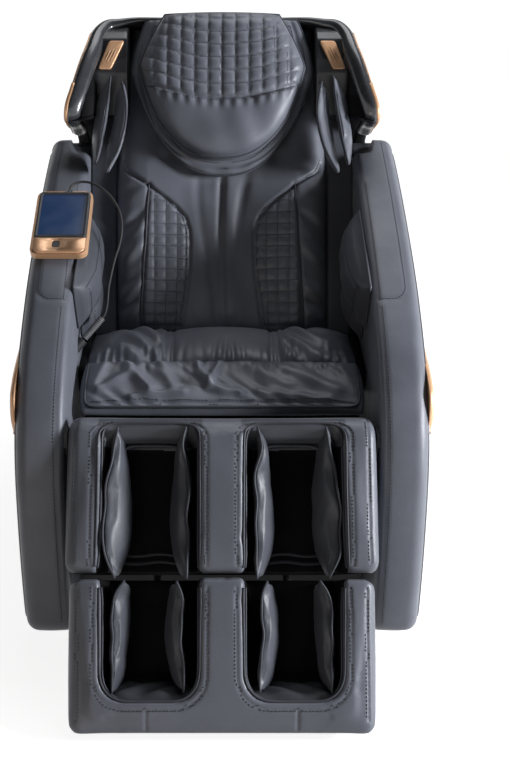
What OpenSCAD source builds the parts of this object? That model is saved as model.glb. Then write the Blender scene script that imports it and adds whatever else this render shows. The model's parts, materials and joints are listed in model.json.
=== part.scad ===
// Massage chair: reclining back with a roller carriage, padded arms, rising leg rest and sliding foot unit.
// The chair faces -Y, +X is to the viewer's right, +Z is up, and the floor is at z = 0.

/* [Overall] */
// Half width from the middle to the outer face of a side shell
half_w = 374; // [360:1:390]
// Half width from the middle to the inner face of an arm
arm_inner = 286; // [280:1:292]
// Shift that puts the middle of the outline over the origin
frame_shift_y = 99.1; // [90:0.1:125]

/* [Backrest] */
// Lean of the backrest from upright at rest, in degrees
back_lean = 32; // [26:1:36]
// Height of the recline shaft above the floor
pivot_z = 390; // [380:1:400]
// Radius of the recline shaft
pivot_r = 12; // [10:0.5:14]
// Length of the backrest above the recline shaft
back_len = 745; // [720:5:760]
// Width of the back pad
back_w = 452; // [420:2:470]
// Width of the head pillow
pillow_w = 416; // [400:2:420]
// Length of the head pillow
pillow_len = 340; // [320:2:360]

/* [Seat] */
// Height of the seat crest above the floor
seat_z = 470; // [460:1:476]
// Width of the seat
seat_w = 548; // [530:2:556]

/* [Leg rest] */
// Lean of the leg rest from upright at rest, in degrees
leg_lean = 37; // [35:1:39]
// Width of the calf unit
calf_w = 556; // [530:2:558]
// Width of the foot unit
leg_w = 540; // [520:2:548]
// Length of the calf unit
calf_len = 288; // [280:1:292]
// Length of the foot unit
foot_len = 262; // [250:1:266]
// Radius of the leg rest's hinge shaft
leg_pivot_r = 10; // [8:0.5:11]

/* [Remote] */
// Width of the remote's holder
holder_w = 112; // [104:1:116]
// Diameter of the remote's cord
cord_d = 5; // [4.5:0.5:6]
// Turns of the spring sleeve on the cord
sleeve_turns = 15; // [10:1:18]

/* [Hidden] */
pivot_y = 10;
knee_y = -370;
knee_z = 475;
leg_round = 45;
run_gap = 0.05;
leather = "#4a4c53";
leather_dark = "#2b2c31";
shell_grey = "#3a3b40";
copper = "#c08a5c";
steel = "#8b8e93";
black = "#1b1c1f";

// Hermite-style curve through the points of an open list, n steps to a span
function curve_at(a, b, c, d, t) =
    0.5 * (2 * b + (c - a) * t + (2 * a - 5 * b + 4 * c - d) * t * t
    + (3 * b - a - 3 * c + d) * t * t * t);
function smooth(p, n) = let (m = len(p) - 1) [
    for (i = [0:m - 1])
        for (k = [0:n - 1])
            curve_at(p[max(i - 1, 0)], p[i], p[i + 1], p[min(i + 2, m)], k / n),
    p[m]
];
// Points of an arc about c, from angle a0 to a1
function arc(c, r, a0, a1, n) = [for (k = [0:n]) let (a = a0 + (a1 - a0) * k / n) c + r * [cos(a), sin(a)]];
// Inward offset of a counter-clockwise outline by d
function inset(p, d) = let (m = len(p)) [
    for (i = [0:m - 1])
        let (e = p[(i + 1) % m] - p[(i + m - 1) % m], l = norm(e))
            p[i] + d / l * [-e[1], e[0]]
];

// A side view outline, points [y, z], extruded across X from x0 to x1
module across(x0, x1) translate([x0, 0, 0]) rotate([90, 0, 90]) linear_extrude(x1 - x0) children();
// A solid through equal rings of points, with flat ends
module loft(rings) {
    m = len(rings[0]);
    last = len(rings) - 1;
    points = [for (r = rings) for (p = r) p];
    walls = [
        for (k = [0:last - 1])
            for (i = [0:m - 1])
                let (a = k * m + i, b = k * m + (i + 1) % m)
                    each [[a, a + m, b], [b, a + m, b + m]]
    ];
    low = [for (i = [0:m - 1]) i];
    high = [for (i = [0:m - 1]) last * m + m - 1 - i];
    polyhedron(points, concat(walls, [low, high]), convexity = 6);
}
// A padded slab: an outline [y, z] across X from x0 to x1, with edges rounded by r
module padded_slab(outline, x0, x1, r) {
    steps = [0, 25, 55, 90];
    ends = [for (a = steps) [r * (1 - cos(a)), r * (1 - sin(a))]];
    xs = concat([for (e = ends) [x0 + e[0], e[1]]], [for (k = [3:-1:0]) [x1 - ends[k][0], ends[k][1]]]);
    loft([for (e = xs) let (o = inset(outline, e[1])) [for (p = o) [e[0], p[0], p[1]]]]);
}
// A cushion on a grid: wide along x, tall along z, its back flat and its face puffed towards -y by puff(s, t)
module cushion(w, h, rim, corner, nu, nv, puff, taper = 0, lift = 0) {
    function spot(i, j, y) =
        let (s = 2 * i / (nu - 1) - 1, t = 2 * j / (nv - 1) - 1, hang = (1 - t) / 2)
            [w / 2 * s * sqrt(1 - corner * t * t) * (1 - taper * max(0, t)) * (1 - lift / h * hang * hang),
             y == 0 ? 0 : -rim - puff(s, t),
             h / 2 * t * sqrt(1 - corner * s * s) + lift * pow(abs(s), 2.5) * hang];
    loop = concat(
        [for (i = [0:nu - 2]) [i, 0]],
        [for (j = [0:nv - 2]) [nu - 1, j]],
        [for (i = [nu - 1:-1:1]) [i, nv - 1]],
        [for (j = [nv - 1:-1:1]) [0, j]]
    );
    n = nu * nv;
    m = len(loop);
    face = [for (j = [0:nv - 1]) for (i = [0:nu - 1]) spot(i, j, 1)];
    sole = [for (q = loop) spot(q[0], q[1], 0)];
    front = [
        for (j = [0:nv - 2])
            for (i = [0:nu - 2])
                let (a = j * nu + i)
                    each [[a, a + nu, a + 1], [a + 1, a + nu, a + nu + 1]]
    ];
    wall = [
        for (k = [0:m - 1])
            let (q = (k + 1) % m, a = loop[k][1] * nu + loop[k][0], b = loop[q][1] * nu + loop[q][0])
                each [[a, b, n + k], [b, n + q, n + k]]
    ];
    back = [for (k = [0:m - 1]) [n + k, n + (k + 1) % m, n + m]];
    polyhedron(concat(face, sole, [[0, 0, 0]]), concat(front, wall, back), convexity = 8);
}
// Swell of a cushion, full in the middle and drawn in at the rim
function crown(s, t) = pow(max(0, 1 - pow(abs(s), 4)), 0.6) * pow(max(0, 1 - pow(abs(t), 4)), 0.6);

// Frames of the moving bodies at rest
module chair() translate([0, frame_shift_y, 0]) children();
module back_frame_at() chair() translate([0, pivot_y, pivot_z]) rotate([-back_lean, 0, 0]) children();
module leg_frame_at() chair() translate([0, knee_y, knee_z]) rotate([-leg_lean, 0, 0]) children();
// A copy on each side of the chair
module at_side(side) if (side < 0) mirror([1, 0, 0]) children(); else children();

// Arm outline in side view: the top runs forward and down to the floor, the rear follows the recline arc
arm_top = [[300, 783], [180, 750], [40, 702], [-90, 650], [-174, 608]];
arm_front = [[-270, 548], [-347, 480], [-398, 395], [-424, 300], [-442, 180], [-450, 60]];
arm_rear_r = 488;
pad_t = 26;
pad_drop = [10, -pad_t];
arm_rear = arc([pivot_y, pivot_z], arm_rear_r, -44, 50, 10);
arm_outline = concat(
    [for (p = smooth(arm_top, 3)) p + pad_drop],
    [[-198, 562], [-206, 588]],
    smooth(arm_front, 3),
    [[-440, 32], [-420, 28], [300, 28], [340, 36]],
    arm_rear
);
pad_ends = [for (p = [arm_top[0], [-184, 603]]) p + pad_drop / 2];
pad_r = norm(pad_drop) / 2;
pad_turn = atan2(-pad_drop[1], -pad_drop[0]);
pad_curve = [for (k = [0:11]) smooth(arm_top, 3)[k]];
arm_pad_outline = concat(
    pad_curve,
    arc(pad_ends[1], pad_r, pad_turn, pad_turn + 180, 6),
    [for (k = [11:-1:1]) pad_curve[k] + pad_drop],
    arc(pad_ends[0], pad_r, pad_turn - 180, pad_turn - 30, 5)
);
shell_x = half_w - 14;

module base_frame() color(steel) chair() {
    rail_x = 205;
    rail = 30;
    rail_z = 24;
    hinge = [knee_y + leg_round * (cos(leg_lean) - sin(leg_lean)),
             knee_z - leg_round * (cos(leg_lean) + sin(leg_lean))];
    for (side = [-1, 1]) at_side(side) {
        translate([rail_x, -260, rail_z]) cube([rail, 640, 40]);
        difference() {
            across(240, 252)
                polygon([[-60, 64], [60, 64], [34, 390], [22, pivot_z + 16], [-2, pivot_z + 16], [-20, 390]]);
            translate([230, pivot_y, pivot_z]) rotate([0, 90, 0])
                cylinder(r = pivot_r + run_gap, h = 30, $fn = 48);
        }
        translate([rail_x + rail, -60, rail_z]) cube([17, 140, 40]);
        across(279.5, 285.5)
            polygon([[-290, 64], [-180, 64], [-250, 300], hinge + [42, -8], hinge + [16, 20],
                     hinge + [-12, 18], hinge + [-20, -4], hinge + [10, -60]]);
        translate([224, hinge[0], hinge[1]]) rotate([0, 90, 0]) cylinder(r = leg_pivot_r, h = 56, $fn = 40);
    }
    translate([-285.5, -300, rail_z]) cube([571, 40, 40]);
    translate([-rail_x, 340, rail_z]) cube([2 * rail_x, 40, 40]);
    translate([-rail_x, -170, rail_z + 36]) cube([2 * rail_x, 450, 4]);
    for (side = [-1, 1]) at_side(side) {
        translate([rail_x + rail, 350, 39]) rotate([0, 90, 0]) cylinder(r = 8, h = 40, $fn = 32);
        translate([rail_x + rail, -260, rail_z]) cube([50.5, 30, 40]);
    }
}
module base_feet() color(black) chair()
    for (x = [-220, 220], y = [-230, 290])
        translate([x, y, 0]) cylinder(r1 = 20, r2 = 24, h = 24, $fn = 40);
module recline_shaft() color(steel) chair()
    translate([-256, pivot_y, pivot_z]) rotate([0, 90, 0]) cylinder(r = pivot_r, h = 512, $fn = 48);

module side_shell(side) color(shell_grey) chair() at_side(side)
    padded_slab(arm_outline, shell_x + 0.5, half_w, 11);
module arm_body(side) color(leather) chair() at_side(side)
    padded_slab(arm_outline, arm_inner, shell_x, 11);
module arm_pad(side) color(leather) chair() at_side(side)
    padded_slab(arm_pad_outline, arm_inner - 2, half_w + 2, 9);
// Copper strip along the outer face of a shell, sweeping up to the rear
module side_trim_solid() {
    upper = smooth([[-336, 402], [-353, 446], [-344, 484], [-318, 506], [-250, 526], [-40, 560],
        [180, 610], [400, 640]], 4);
    lower = smooth([[390, 600], [180, 562], [-40, 510], [-230, 470], [-300, 438]], 4);
    across(half_w, half_w + 10) polygon(concat([for (k = [len(upper) - 1:-1:0]) upper[k]],
        [for (k = [len(lower) - 1:-1:0]) lower[k]]));
}
module side_trims() color(copper) chair() for (side = [-1, 1]) at_side(side) side_trim_solid();
// Airbag pads on the inner faces of the arms: an upper and a lower pad on each side
module arm_airbags() color(leather_dark) chair() for (side = [-1, 1]) at_side(side) {
    translate([arm_inner - 1, -20, 612]) rotate([18, 0, 0]) rotate([0, 0, -90])
        cushion(250, 112, 12, 0.3, 6, 6, function(s, t) 38 * crown(s, t));
    translate([arm_inner - 1, 0, 534]) rotate([14, 0, 0]) rotate([0, 0, -90])
        cushion(170, 76, 10, 0.3, 6, 6, function(s, t) 34 * crown(s, t));
}

// Seat: a tray on the base, a crowned pad and the gathered apron over the knee
module seat_tray() color(steel) chair() {
    translate([-232, -215, 402]) cube([464, 175, 6]);
    for (x = [-110, 98])
        across(x, x + 12) polygon([[-215, 408], [-143, 408], [-143, 452.4], [-215, 426.2]]);
    for (x = [-232, 220]) translate([x, -215, 64]) cube([12, 40, 338]);
    for (x = [-232, 220]) translate([x, -80, 64]) cube([12, 16, 338]);
}
module seat_pad() color(leather) chair()
    translate([0, -57, 408]) rotate([-90, 0, 0])
        cushion(seat_w, 166, 34, 0.06, 23, 12, function(s, t)
            let (gathers = 3.5 * cos(360 * 8 * s) * max(0, t))
                (seat_z - 442) * crown(s, t) + gathers * crown(s, t) - 6 * max(0, t));
module seat_apron() color(leather) chair()
    translate([0, -206, 430]) rotate([-70, 0, 0])
        cushion(seat_w - 8, 126, 14, 0.05, 26, 9, function(s, t)
            let (folds = 4 * cos(360 * 4.5 * s + 120 * t) * (1 - t * t) + 3 * cos(360 * 9 * s - 80 * t))
                (12 + folds) * crown(s, t));

// Backrest in its own frame: y towards the rear, z up along the back, the recline shaft at the origin
pad_face = -18;
pad_back = 38;
frame_x = 182;
post = 30;
post_y = 44;
module back_frame() color(steel) back_frame_at() {
    for (side = [-1, 1]) at_side(side) {
        difference() {
            union() {
                translate([frame_x, 0, 0]) rotate([0, 90, 0]) cylinder(r = 16, h = 36, $fn = 48);
                across(frame_x, frame_x + post)
                    polygon([[-8, -13], [40, -12], [post_y + post, 12], [post_y + post, 700],
                             [post_y, 700], [post_y, 40], [-4, 15]]);
            }
            translate([frame_x - 5, 0, 0]) rotate([0, 90, 0])
                cylinder(r = pivot_r + run_gap, h = 50, $fn = 48);
        }
    }
    for (z = [60, 670]) translate([-frame_x, post_y + 4, z]) cube([2 * frame_x, 22, 26]);
}
rail_r = 7;
rail_x = 150;
carriage_y = 92;
module carriage_rails() color("#b9bcc2") back_frame_at()
    for (x = [-rail_x, rail_x]) {
        translate([x, carriage_y, 60]) cylinder(r = rail_r, h = 620, $fn = 32);
        for (z = [62, 672])
            translate([x - 9, post_y + 26, z]) cube([18, carriage_y - post_y - 26 - rail_r, 18]);
    }
shell_half = 262;
module back_shell() color(shell_grey) back_frame_at() {
    outer = concat([[46, 24], [110, 24]], smooth([[126, 70], [136, 330], [126, 600], [96, 715]], 4),
        [[70, 736], [36, back_len], [8, back_len], [8, back_len - 5]]);
    inner = concat([[-20, 10], [104, 10]], smooth([[120, 72], [130, 330], [120, 598], [91, 712]], 4),
        [[67, 731], [36, back_len - 5], [-20, back_len - 5]]);
    difference() {
        across(-shell_half, shell_half) polygon(outer);
        across(5 - shell_half, shell_half - 5) polygon(inner);
    }
}
// Swell of the back pad: a channel down the middle, quilted lumbar panels and piped edges
quilt_step = 30;
back_puff = function(s, t)
    let (x = s * back_w / 2,
         z = t * 347,
         channel = 14 * exp(-pow(x / 20, 2)) * (1 - 0.4 * t),
         lumbar = exp(-pow((abs(x) - 108) / 46, 4)) * max(0, 1 - pow((t + 0.5) / 0.46, 4)),
         tufts = 2.5 * lumbar * (cos(360 * x / quilt_step) + cos(360 * z / (quilt_step * 1.8))),
         piping = 5 * exp(-pow((abs(x) - 165) / 9, 2)))
        (34 * crown(s, t) - channel - piping + tufts) * pow(crown(s, t), 0.3);
module back_pad() color(leather) back_frame_at()
    translate([0, pad_back, 391])
        cushion(back_w, 694, pad_back - pad_face - 36, 0.05, 31, 27, back_puff, 0.12);
pillow_mid = back_len - 10 - pillow_len / 2;
module pillow_base() color(leather) back_frame_at()
    translate([0, pad_face - 0.5, pillow_mid])
        cushion(pillow_w, pillow_len, 9, 0.05, 12, 12, function(s, t) 11 * crown(s, t), 0.2, 96);
// Head pillow: square tufts over the upper half, plain below a curved seam
pillow_puff = function(s, t)
    let (seam = 0.05 + 0.12 * s * s,
         seam_cut = 7 * exp(-pow((t - seam) / 0.05, 2)),
         tufts = t > seam ? 3.5 * (cos(360 * 4 * s + 180) + cos(360 * 3.25 * (t - seam) + 180)) : 0)
        (34 * crown(s, t) - seam_cut + tufts) * pow(crown(s, t), 0.3);
module head_pillow() color(leather) back_frame_at()
    translate([0, pad_face - 21.5, pillow_mid + 10])
        cushion(pillow_w - 44, pillow_len - 44, 14, 0.05, 33, 27, pillow_puff, 0.33, 84);

// Shoulder wings: shells that flare out towards the arms, their lower edge on the recline arc
wing_r = 506;
wing_in = 268;
wing_low_x = 356;
wing_top_x = 300;
wing_side = concat(
    arc([0, 0], wing_r, 101, 77.5, 4),
    smooth([[124, 560], [118, 650], [86, 718], [36, 742]], 3),
    smooth([[-10, 728], [-50, 688], [-82, 622], [-104, 545]], 3)
);
function wing_out(z) = wing_low_x + (wing_top_x - wing_low_x) * (z - 500) / 240;
// Ring of the wing's outline, drawn in by d and set in from the outer face by e
function wing_ring(d, e) = [for (p = inset(wing_side, d)) [wing_out(p[1]) - e, p[0], p[1]]];
module wing(side) color(shell_grey) back_frame_at() at_side(side) {
    loft([[for (p = inset(wing_side, 5)) [wing_in, p[0], p[1]]],
          [for (p = wing_side) [wing_in + 6, p[0], p[1]]], wing_ring(0, 30), wing_ring(4, 12.5)]);
    loft([wing_ring(5, 6.5), wing_ring(10, 2), wing_ring(22, 0)]);
    across(206, wing_in + 2)
        polygon([[-52, 612], [-24, 612], [6, 646], [6, 738], [-12, 734], [-40, 704], [-52, 684]]);
}
module wing_trims() color(copper) back_frame_at()
    for (side = [-1, 1]) at_side(side) loft([wing_ring(2, 12), wing_ring(2, 7)]);
// Speaker grilles: slanted, slotted plates on the front of the wings' upper ends
module speaker_grilles() color(copper) back_frame_at()
    for (side = [-1, 1]) at_side(side)
        translate([0, -52.3, 0]) rotate([90, 0, 0]) linear_extrude(5) difference() {
            polygon([[238, 618], [264, 618], [247, 674], [217, 674]]);
            for (x = [242, 249, 256])
                polygon([[x, 625], [x + 3, 625], [x - 11, 667], [x - 14, 667]]);
        }
// Shoulder airbags: two leaf-shaped pads on each side, standing forward of the shell
module shoulder_airbags() color(leather_dark) back_frame_at() for (side = [-1, 1]) at_side(side) {
    translate([wing_in - 0.3, -38, 500]) rotate([0, 0, -90])
        cushion(104, 208, 4, 0.42, 6, 6, function(s, t) 18 * crown(s, t));
    translate([241, -60, 498]) rotate([0, 0, -90])
        cushion(70, 190, 3, 0.42, 6, 6, function(s, t) 15 * crown(s, t));
}

// Roller carriage behind the back pad
carriage_z = 300;
arm_y = 74;
module carriage() color("#55585e") back_frame_at() {
    difference() {
        translate([-172, 82, carriage_z - 32]) cube([344, 22, 64]);
        for (x = [-rail_x, rail_x])
            translate([x, carriage_y, carriage_z - 40]) cylinder(r = rail_r + run_gap, h = 80, $fn = 32);
        for (side = [-1, 1]) at_side(side) translate([57, 80, carriage_z - 34]) cube([24, 9.5, 68]);
    }
    for (side = [-1, 1]) at_side(side) {
        translate([46, 66, carriage_z - 10]) cube([8, 17, 20]);
        translate([50, arm_y, carriage_z]) rotate([0, 90, 0]) cylinder(r = 6, h = 28, $fn = 32);
    }
}
module carriage_motor() color(black) back_frame_at() {
    translate([-42, carriage_y, carriage_z - 66]) rotate([0, 90, 0]) cylinder(r = 21, h = 84, $fn = 40);
    translate([-26, 82, carriage_z - 56]) cube([52, 20, 24]);
}
roller_z = 70;
module knead_arm(side) color(steel) back_frame_at() at_side(side) difference() {
    union() {
        translate([62, arm_y - 9, carriage_z - roller_z - 12]) cube([12, 18, 2 * roller_z + 24]);
        translate([60, arm_y, carriage_z]) rotate([0, 90, 0]) cylinder(r = 13, h = 16, $fn = 40);
        for (z = [-roller_z, roller_z])
            translate([72, arm_y, carriage_z + z]) rotate([0, 90, 0]) cylinder(r = 5, h = 44, $fn = 24);
    }
    translate([55, arm_y, carriage_z]) rotate([0, 90, 0]) cylinder(r = 6 + run_gap, h = 30, $fn = 32);
}
module back_roller(side, end) color("#6d4a38") back_frame_at() at_side(side)
    translate([78, arm_y, carriage_z + end * roller_z]) rotate([0, 90, 0]) rotate_extrude($fn = 48)
        polygon([[5 + run_gap, 0], [20, 0], [26, 6], [26, 26], [20, 32], [5 + run_gap, 32]]);

// Leg rest in its own frame: y towards the rear, z up along the leg, the knee's front edge at the origin
outer_post = 200;
mid_post = 36;
well_d = 88;
post_d = 112;
post_foot = 17;
post_outline = concat(
    arc([post_foot, post_foot - calf_len], post_foot, 180, 270, 4),
    arc([post_d - post_foot, post_foot - calf_len], post_foot, 270, 360, 4),
    [[post_d, -85]],
    arc([leg_round, -leg_round], leg_round, 0, 180, 8)
);
module calf_post(side) color(leather) leg_frame_at() at_side(side) difference() {
    padded_slab(post_outline, outer_post, calf_w / 2, 14);
    translate([226, 22, -112]) cube([38, 100, 92]);
    for (x = [215, 250]) translate([x, leg_round, -leg_round]) rotate([0, 90, 0])
        cylinder(r = leg_pivot_r + 2, h = x > 215 ? 40 : 20, $fn = 32);
}
module calf_post_center() color(leather) leg_frame_at() padded_slab(post_outline, -mid_post, mid_post, 14);
// Lining of the two wells, with a roll over the knee at the top
module calf_lining() color(black) leg_frame_at()
    for (side = [-1, 1]) at_side(side) across(mid_post + 0.5, outer_post - 0.5) {
        knee = [leg_round, -leg_round];
        polygon(concat(arc(knee, leg_round - 1, -5, 110, 8), arc(knee, leg_round - 9, 110, -5, 8)));
        polygon([[well_d - 6, -44], [well_d, -calf_len], [well_d + 22, -calf_len], [well_d + 22, -80],
                 [well_d, -44]]);
    }
tube_x = 120;
tube_y = 134;
module calf_frame() color(steel) leg_frame_at() {
    translate([-258, 112.5, -calf_len]) cube([516, 8, calf_len - 90]);
    for (side = [-1, 1]) at_side(side) difference() {
        union() {
            translate([230, leg_round, -leg_round]) rotate([0, 90, 0]) cylinder(r = 17, h = 30, $fn = 40);
            across(236, 254)
                polygon([[38, -60], [60, -38], [112.5, -84], [120.5, -92], [120.5, -108], [100, -106]]);
        }
        translate([220, leg_round, -leg_round]) rotate([0, 90, 0])
            cylinder(r = leg_pivot_r + run_gap, h = 50, $fn = 40);
    }
    for (side = [-1, 1]) at_side(side) difference() {
        translate([tube_x - 13, 120, -calf_len + 2]) cube([26, 27, 150]);
        translate([tube_x, tube_y, -calf_len - 5]) cylinder(r = 8 + run_gap, h = 170, $fn = 32);
    }
}
// Airbag pads on both sides of each calf well
module calf_airbags() color(leather_dark) leg_frame_at() for (side = [-1, 1]) at_side(side) {
    translate([outer_post - 0.5, 40, -152]) rotate([0, 0, -90])
        cushion(86, 258, 4, 0.2, 7, 9, function(s, t) 30 * crown(s, t));
    translate([mid_post + 0.5, 40, -152]) rotate([0, 0, 90])
        cushion(86, 258, 4, 0.2, 7, 9, function(s, t) 22 * crown(s, t));
}

foot_top = -calf_len - 4;
foot_low = foot_top - foot_len;
shoe_round = 17;
shoe_outline = concat(
    [[60, foot_low + 31], [110, foot_low + 70]],
    arc([110 - shoe_round, foot_top - shoe_round], shoe_round, 0, 90, 4),
    arc([shoe_round, foot_top - shoe_round], shoe_round, 90, 180, 4),
    arc([shoe_round + 1, foot_low + shoe_round + 2], shoe_round + 1, 180, 270, 5)
);
well_in = 42;
well_out = 204;
well_round = 50;
well_low = foot_low + 51;
module foot_well() rotate([90, 0, 0]) translate([0, 0, -well_d]) linear_extrude(well_d + 5) {
    translate([well_in, well_low + well_round])
        square([well_out - well_in, foot_top + 5 - well_low - well_round]);
    translate([well_in + well_round, well_low])
        square([well_out - well_in - 2 * well_round, well_round + 1]);
    for (x = [well_in + well_round, well_out - well_round])
        translate([x, well_low + well_round]) circle(r = well_round, $fn = 48);
}
roller_y = 40;
roller_low = well_low - 2;
module foot_shoe() color(leather) leg_frame_at() difference() {
    padded_slab(shoe_outline, -leg_w / 2, leg_w / 2, 16);
    for (side = [-1, 1]) at_side(side) foot_well();
    translate([-200, roller_y, roller_low]) rotate([0, 90, 0]) cylinder(r = 5 + run_gap, h = 400, $fn = 32);
    for (side = [-1, 1]) at_side(side)
        translate([95, roller_y, roller_low]) rotate([0, 90, 0]) cylinder(r = 14, h = 56, $fn = 32);
}
module foot_roller() color("#6d4a38") leg_frame_at() {
    translate([-199, roller_y, roller_low]) rotate([0, 90, 0]) cylinder(r = 5, h = 398, $fn = 32);
    for (side = [-1, 1], k = [0:2]) at_side(side)
        translate([100 + 16 * k, roller_y, roller_low]) rotate([0, 90, 0])
            cylinder(r = 12.5, h = 13, $fn = 32);
}
module foot_airbags() color(leather_dark) leg_frame_at() for (side = [-1, 1]) at_side(side) {
    translate([well_out - 0.5, 42, foot_top - 78]) rotate([0, 0, -90])
        cushion(76, 140, 4, 0.2, 6, 6, function(s, t) 24 * crown(s, t));
    translate([well_in + 0.5, 42, foot_top - 78]) rotate([0, 0, 90])
        cushion(76, 140, 4, 0.2, 6, 6, function(s, t) 16 * crown(s, t));
}
module foot_frame() color(steel) leg_frame_at() {
    translate([-236, 110.5, foot_top - 176]) cube([472, 7, 160]);
    for (side = [-1, 1]) at_side(side) {
        translate([tube_x - 13, 117.5, foot_top - 60]) cube([26, 27, 44]);
        translate([tube_x, tube_y, foot_top - 40]) cylinder(r = 8, h = 236, $fn = 32);
    }
}

// Remote in its holder on the left arm: y up the slope, z out of the screen
holder_len = 180;
remote_at = [-317, -7, 700.5];
remote_tilt = 24;
module remote_frame() chair() translate(remote_at) rotate([remote_tilt, 0, 0]) children();
module round_rect(w, h, r) {
    square([w - 2 * r, h], center = true);
    square([w, h - 2 * r], center = true);
    for (x = [-1, 1], y = [-1, 1]) translate([x * (w / 2 - r), y * (h / 2 - r)]) circle(r = r, $fn = 32);
}
module remote_holder() color(copper) {
    remote_frame() difference() {
        translate([0, 0, -8]) linear_extrude(12) round_rect(holder_w, holder_len, 16);
        translate([0, 0, -5]) linear_extrude(20) round_rect(holder_w - 8, holder_len - 8, 13);
        translate([0, 80, -5]) cube([14, 20, 20]);
    }
    top = smooth(arm_top, 3);
    wedge = [top[8], top[7], top[6], top[5], [70, 726.8], [-50, 673.3]];
    chair() across(-350, -292) polygon([for (p = wedge) p + [0, 0.2]]);
}
button_w = 14;
module remote_body() color(black) remote_frame() difference() {
    union() {
        translate([0, 0, -5]) linear_extrude(10) round_rect(holder_w - 9, holder_len - 9, 12);
        translate([7, 80, 0]) rotate([-90, 0, 0]) cylinder(r = 4.5, h = 17, $fn = 32);
    }
    translate([0, 20, 4]) linear_extrude(5) round_rect(92.4, 120.4, 3);
    translate([-6, -64, 0]) linear_extrude(9) round_rect(button_w + 1, 19, 5);
}
module remote_screen() color("#28406b") remote_frame()
    translate([0, 20, 4]) linear_extrude(1.4) round_rect(92, 120, 3);
module home_button() color("#26272b") remote_frame()
    translate([-6, -64, 2]) linear_extrude(4.2) round_rect(button_w, 18, 5);

// The remote's cord: out of the remote's top, over the arm's inner edge and down into the spring sleeve
cord_route = [
    [-310, 82, 740], [-310, 91, 744], [-304, 100, 748], [-290, 105, 751], [-272, 101, 751], [-252, 88, 747],
    [-233, 70, 739], [-217, 50, 727], [-205, 28, 711], [-200, 6, 689], [-204, -14, 662], [-214, -34, 634],
    [-221, -50, 608], [-226, -62, 584], [-228, -72, 562], [-231, -80, 546], [-236, -86, 535],
    [-249, -95, 522], [-262, -104, 510], [-276, -114, 496]
];
sleeve_from = cord_route[16];
sleeve_to = cord_route[19];
sleeve_axis = (sleeve_to - sleeve_from) / norm(sleeve_to - sleeve_from);
sleeve_side = cross(sleeve_axis, [0, 0, 1]) / norm(cross(sleeve_axis, [0, 0, 1]));
sleeve_up = cross(sleeve_axis, sleeve_side);
sleeve_r = 6;
wire_d = 2.6;
// A round tube of diameter d along a path, with a frame that turns no more than the path does
module tube(path, d, sides) {
    m = len(path);
    dirs = [for (i = [0:m - 1]) let (e = path[min(i + 1, m - 1)] - path[max(i - 1, 0)]) e / norm(e)];
    function level(n, t) = let (v = n - (n * t) * t) v / norm(v);
    first = level(abs(dirs[0][2]) < 0.9 ? [0, 0, 1] : [1, 0, 0], dirs[0]);
    normals = [for (i = 0, n = first; i < m; i = i + 1, n = i < m ? level(n, dirs[i]) : n) n];
    rings = [
        for (i = [0:m - 1])
            let (n = normals[i], b = cross(dirs[i], n), turn = 360 / sides)
                [for (k = [0:sides - 1]) path[i] + d / 2 * (cos(turn * k) * n + sin(turn * k) * b)]
    ];
    loft([for (i = [m - 1:-1:0]) rings[i]]);
}
module remote_cord() color(black) chair() tube(smooth(cord_route, 2), cord_d, 8);
// Points of the sleeve's wire: a helix with a short straight run at each end
function sleeve_path() =
    let (rings = 8 * sleeve_turns,
         start = sleeve_from + 4 * sleeve_axis,
         l = norm(sleeve_to - sleeve_from) - 8,
         spoke = function(a) sleeve_r * (cos(a) * sleeve_side + sin(a) * sleeve_up))
        concat([start - wire_d * sleeve_axis + spoke(0)],
            [for (k = [0:rings]) start + l * k / rings * sleeve_axis + spoke(45 * k)],
            [start + (l + wire_d) * sleeve_axis + spoke(45 * rings)]);
function least_gap(p) =
    min([for (i = [0:len(p) - 1]) for (j = [i + 5:1:len(p) - 1]) norm(p[i] - p[j])]) - wire_d;
module cord_sleeve() color(black) chair() {
    echo(str("spring sleeve, least gap between turns in mm: ", least_gap(sleeve_path())));
    tube(sleeve_path(), wire_d, 6);
}
module cord_gland() color(black) chair() difference() {
    translate(sleeve_to) multmatrix([
        [sleeve_side[0], sleeve_up[0], sleeve_axis[0], 0], [sleeve_side[1], sleeve_up[1], sleeve_axis[1], 0],
        [sleeve_side[2], sleeve_up[2], sleeve_axis[2], 0]
    ]) cylinder(r = 10, h = 40, $fn = 32);
    translate([-arm_inner - 60, -200, 430]) cube([60, 200, 120]);
}

// Air and electrics on the base, the rear cover and the rear wheels
module rear_cover() color(shell_grey) chair() across(-232, 232)
    polygon(concat(arc([pivot_y, pivot_z], arm_rear_r - 2, -41.8, -22, 6),
        arc([pivot_y, pivot_z], arm_rear_r - 7, -22, -41.8, 6)));
module control_box() color("#2f3136") chair() translate([-120, 120, 64]) cube([240, 150, 70]);
module air_pump() color("#50535a") chair() {
    translate([-130, -150, 64]) cube([110, 160, 90]);
    translate([-75, -70, 154]) cylinder(r = 34, h = 26, $fn = 40);
}
module valve_block() color("#6a6d74") chair() {
    translate([20, -130, 64]) cube([110, 60, 50]);
    for (k = [0:4]) translate([36 + 20 * k, -100, 114]) cylinder(r = 5, h = 16, $fn = 24);
}
module power_inlet() color(black) chair() difference() {
    translate([-60, 380, 30]) cube([120, 24, 30]);
    translate([-48, 392, 36]) cube([28, 20, 18]);
    translate([14, 392, 36]) cube([24, 20, 18]);
    translate([10, 398, 45]) rotate([0, 90, 0]) cylinder(r = 2, h = 32, $fn = 24);
}
module power_switch() color("#7a1f1c") chair() {
    across(15, 37) polygon([[396, 39], [403, 37.5], [406, 45], [403, 52.5], [396, 51]]);
    translate([11, 398, 45]) rotate([0, 90, 0]) cylinder(r = 2 - run_gap, h = 30, $fn = 24);
}
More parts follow.
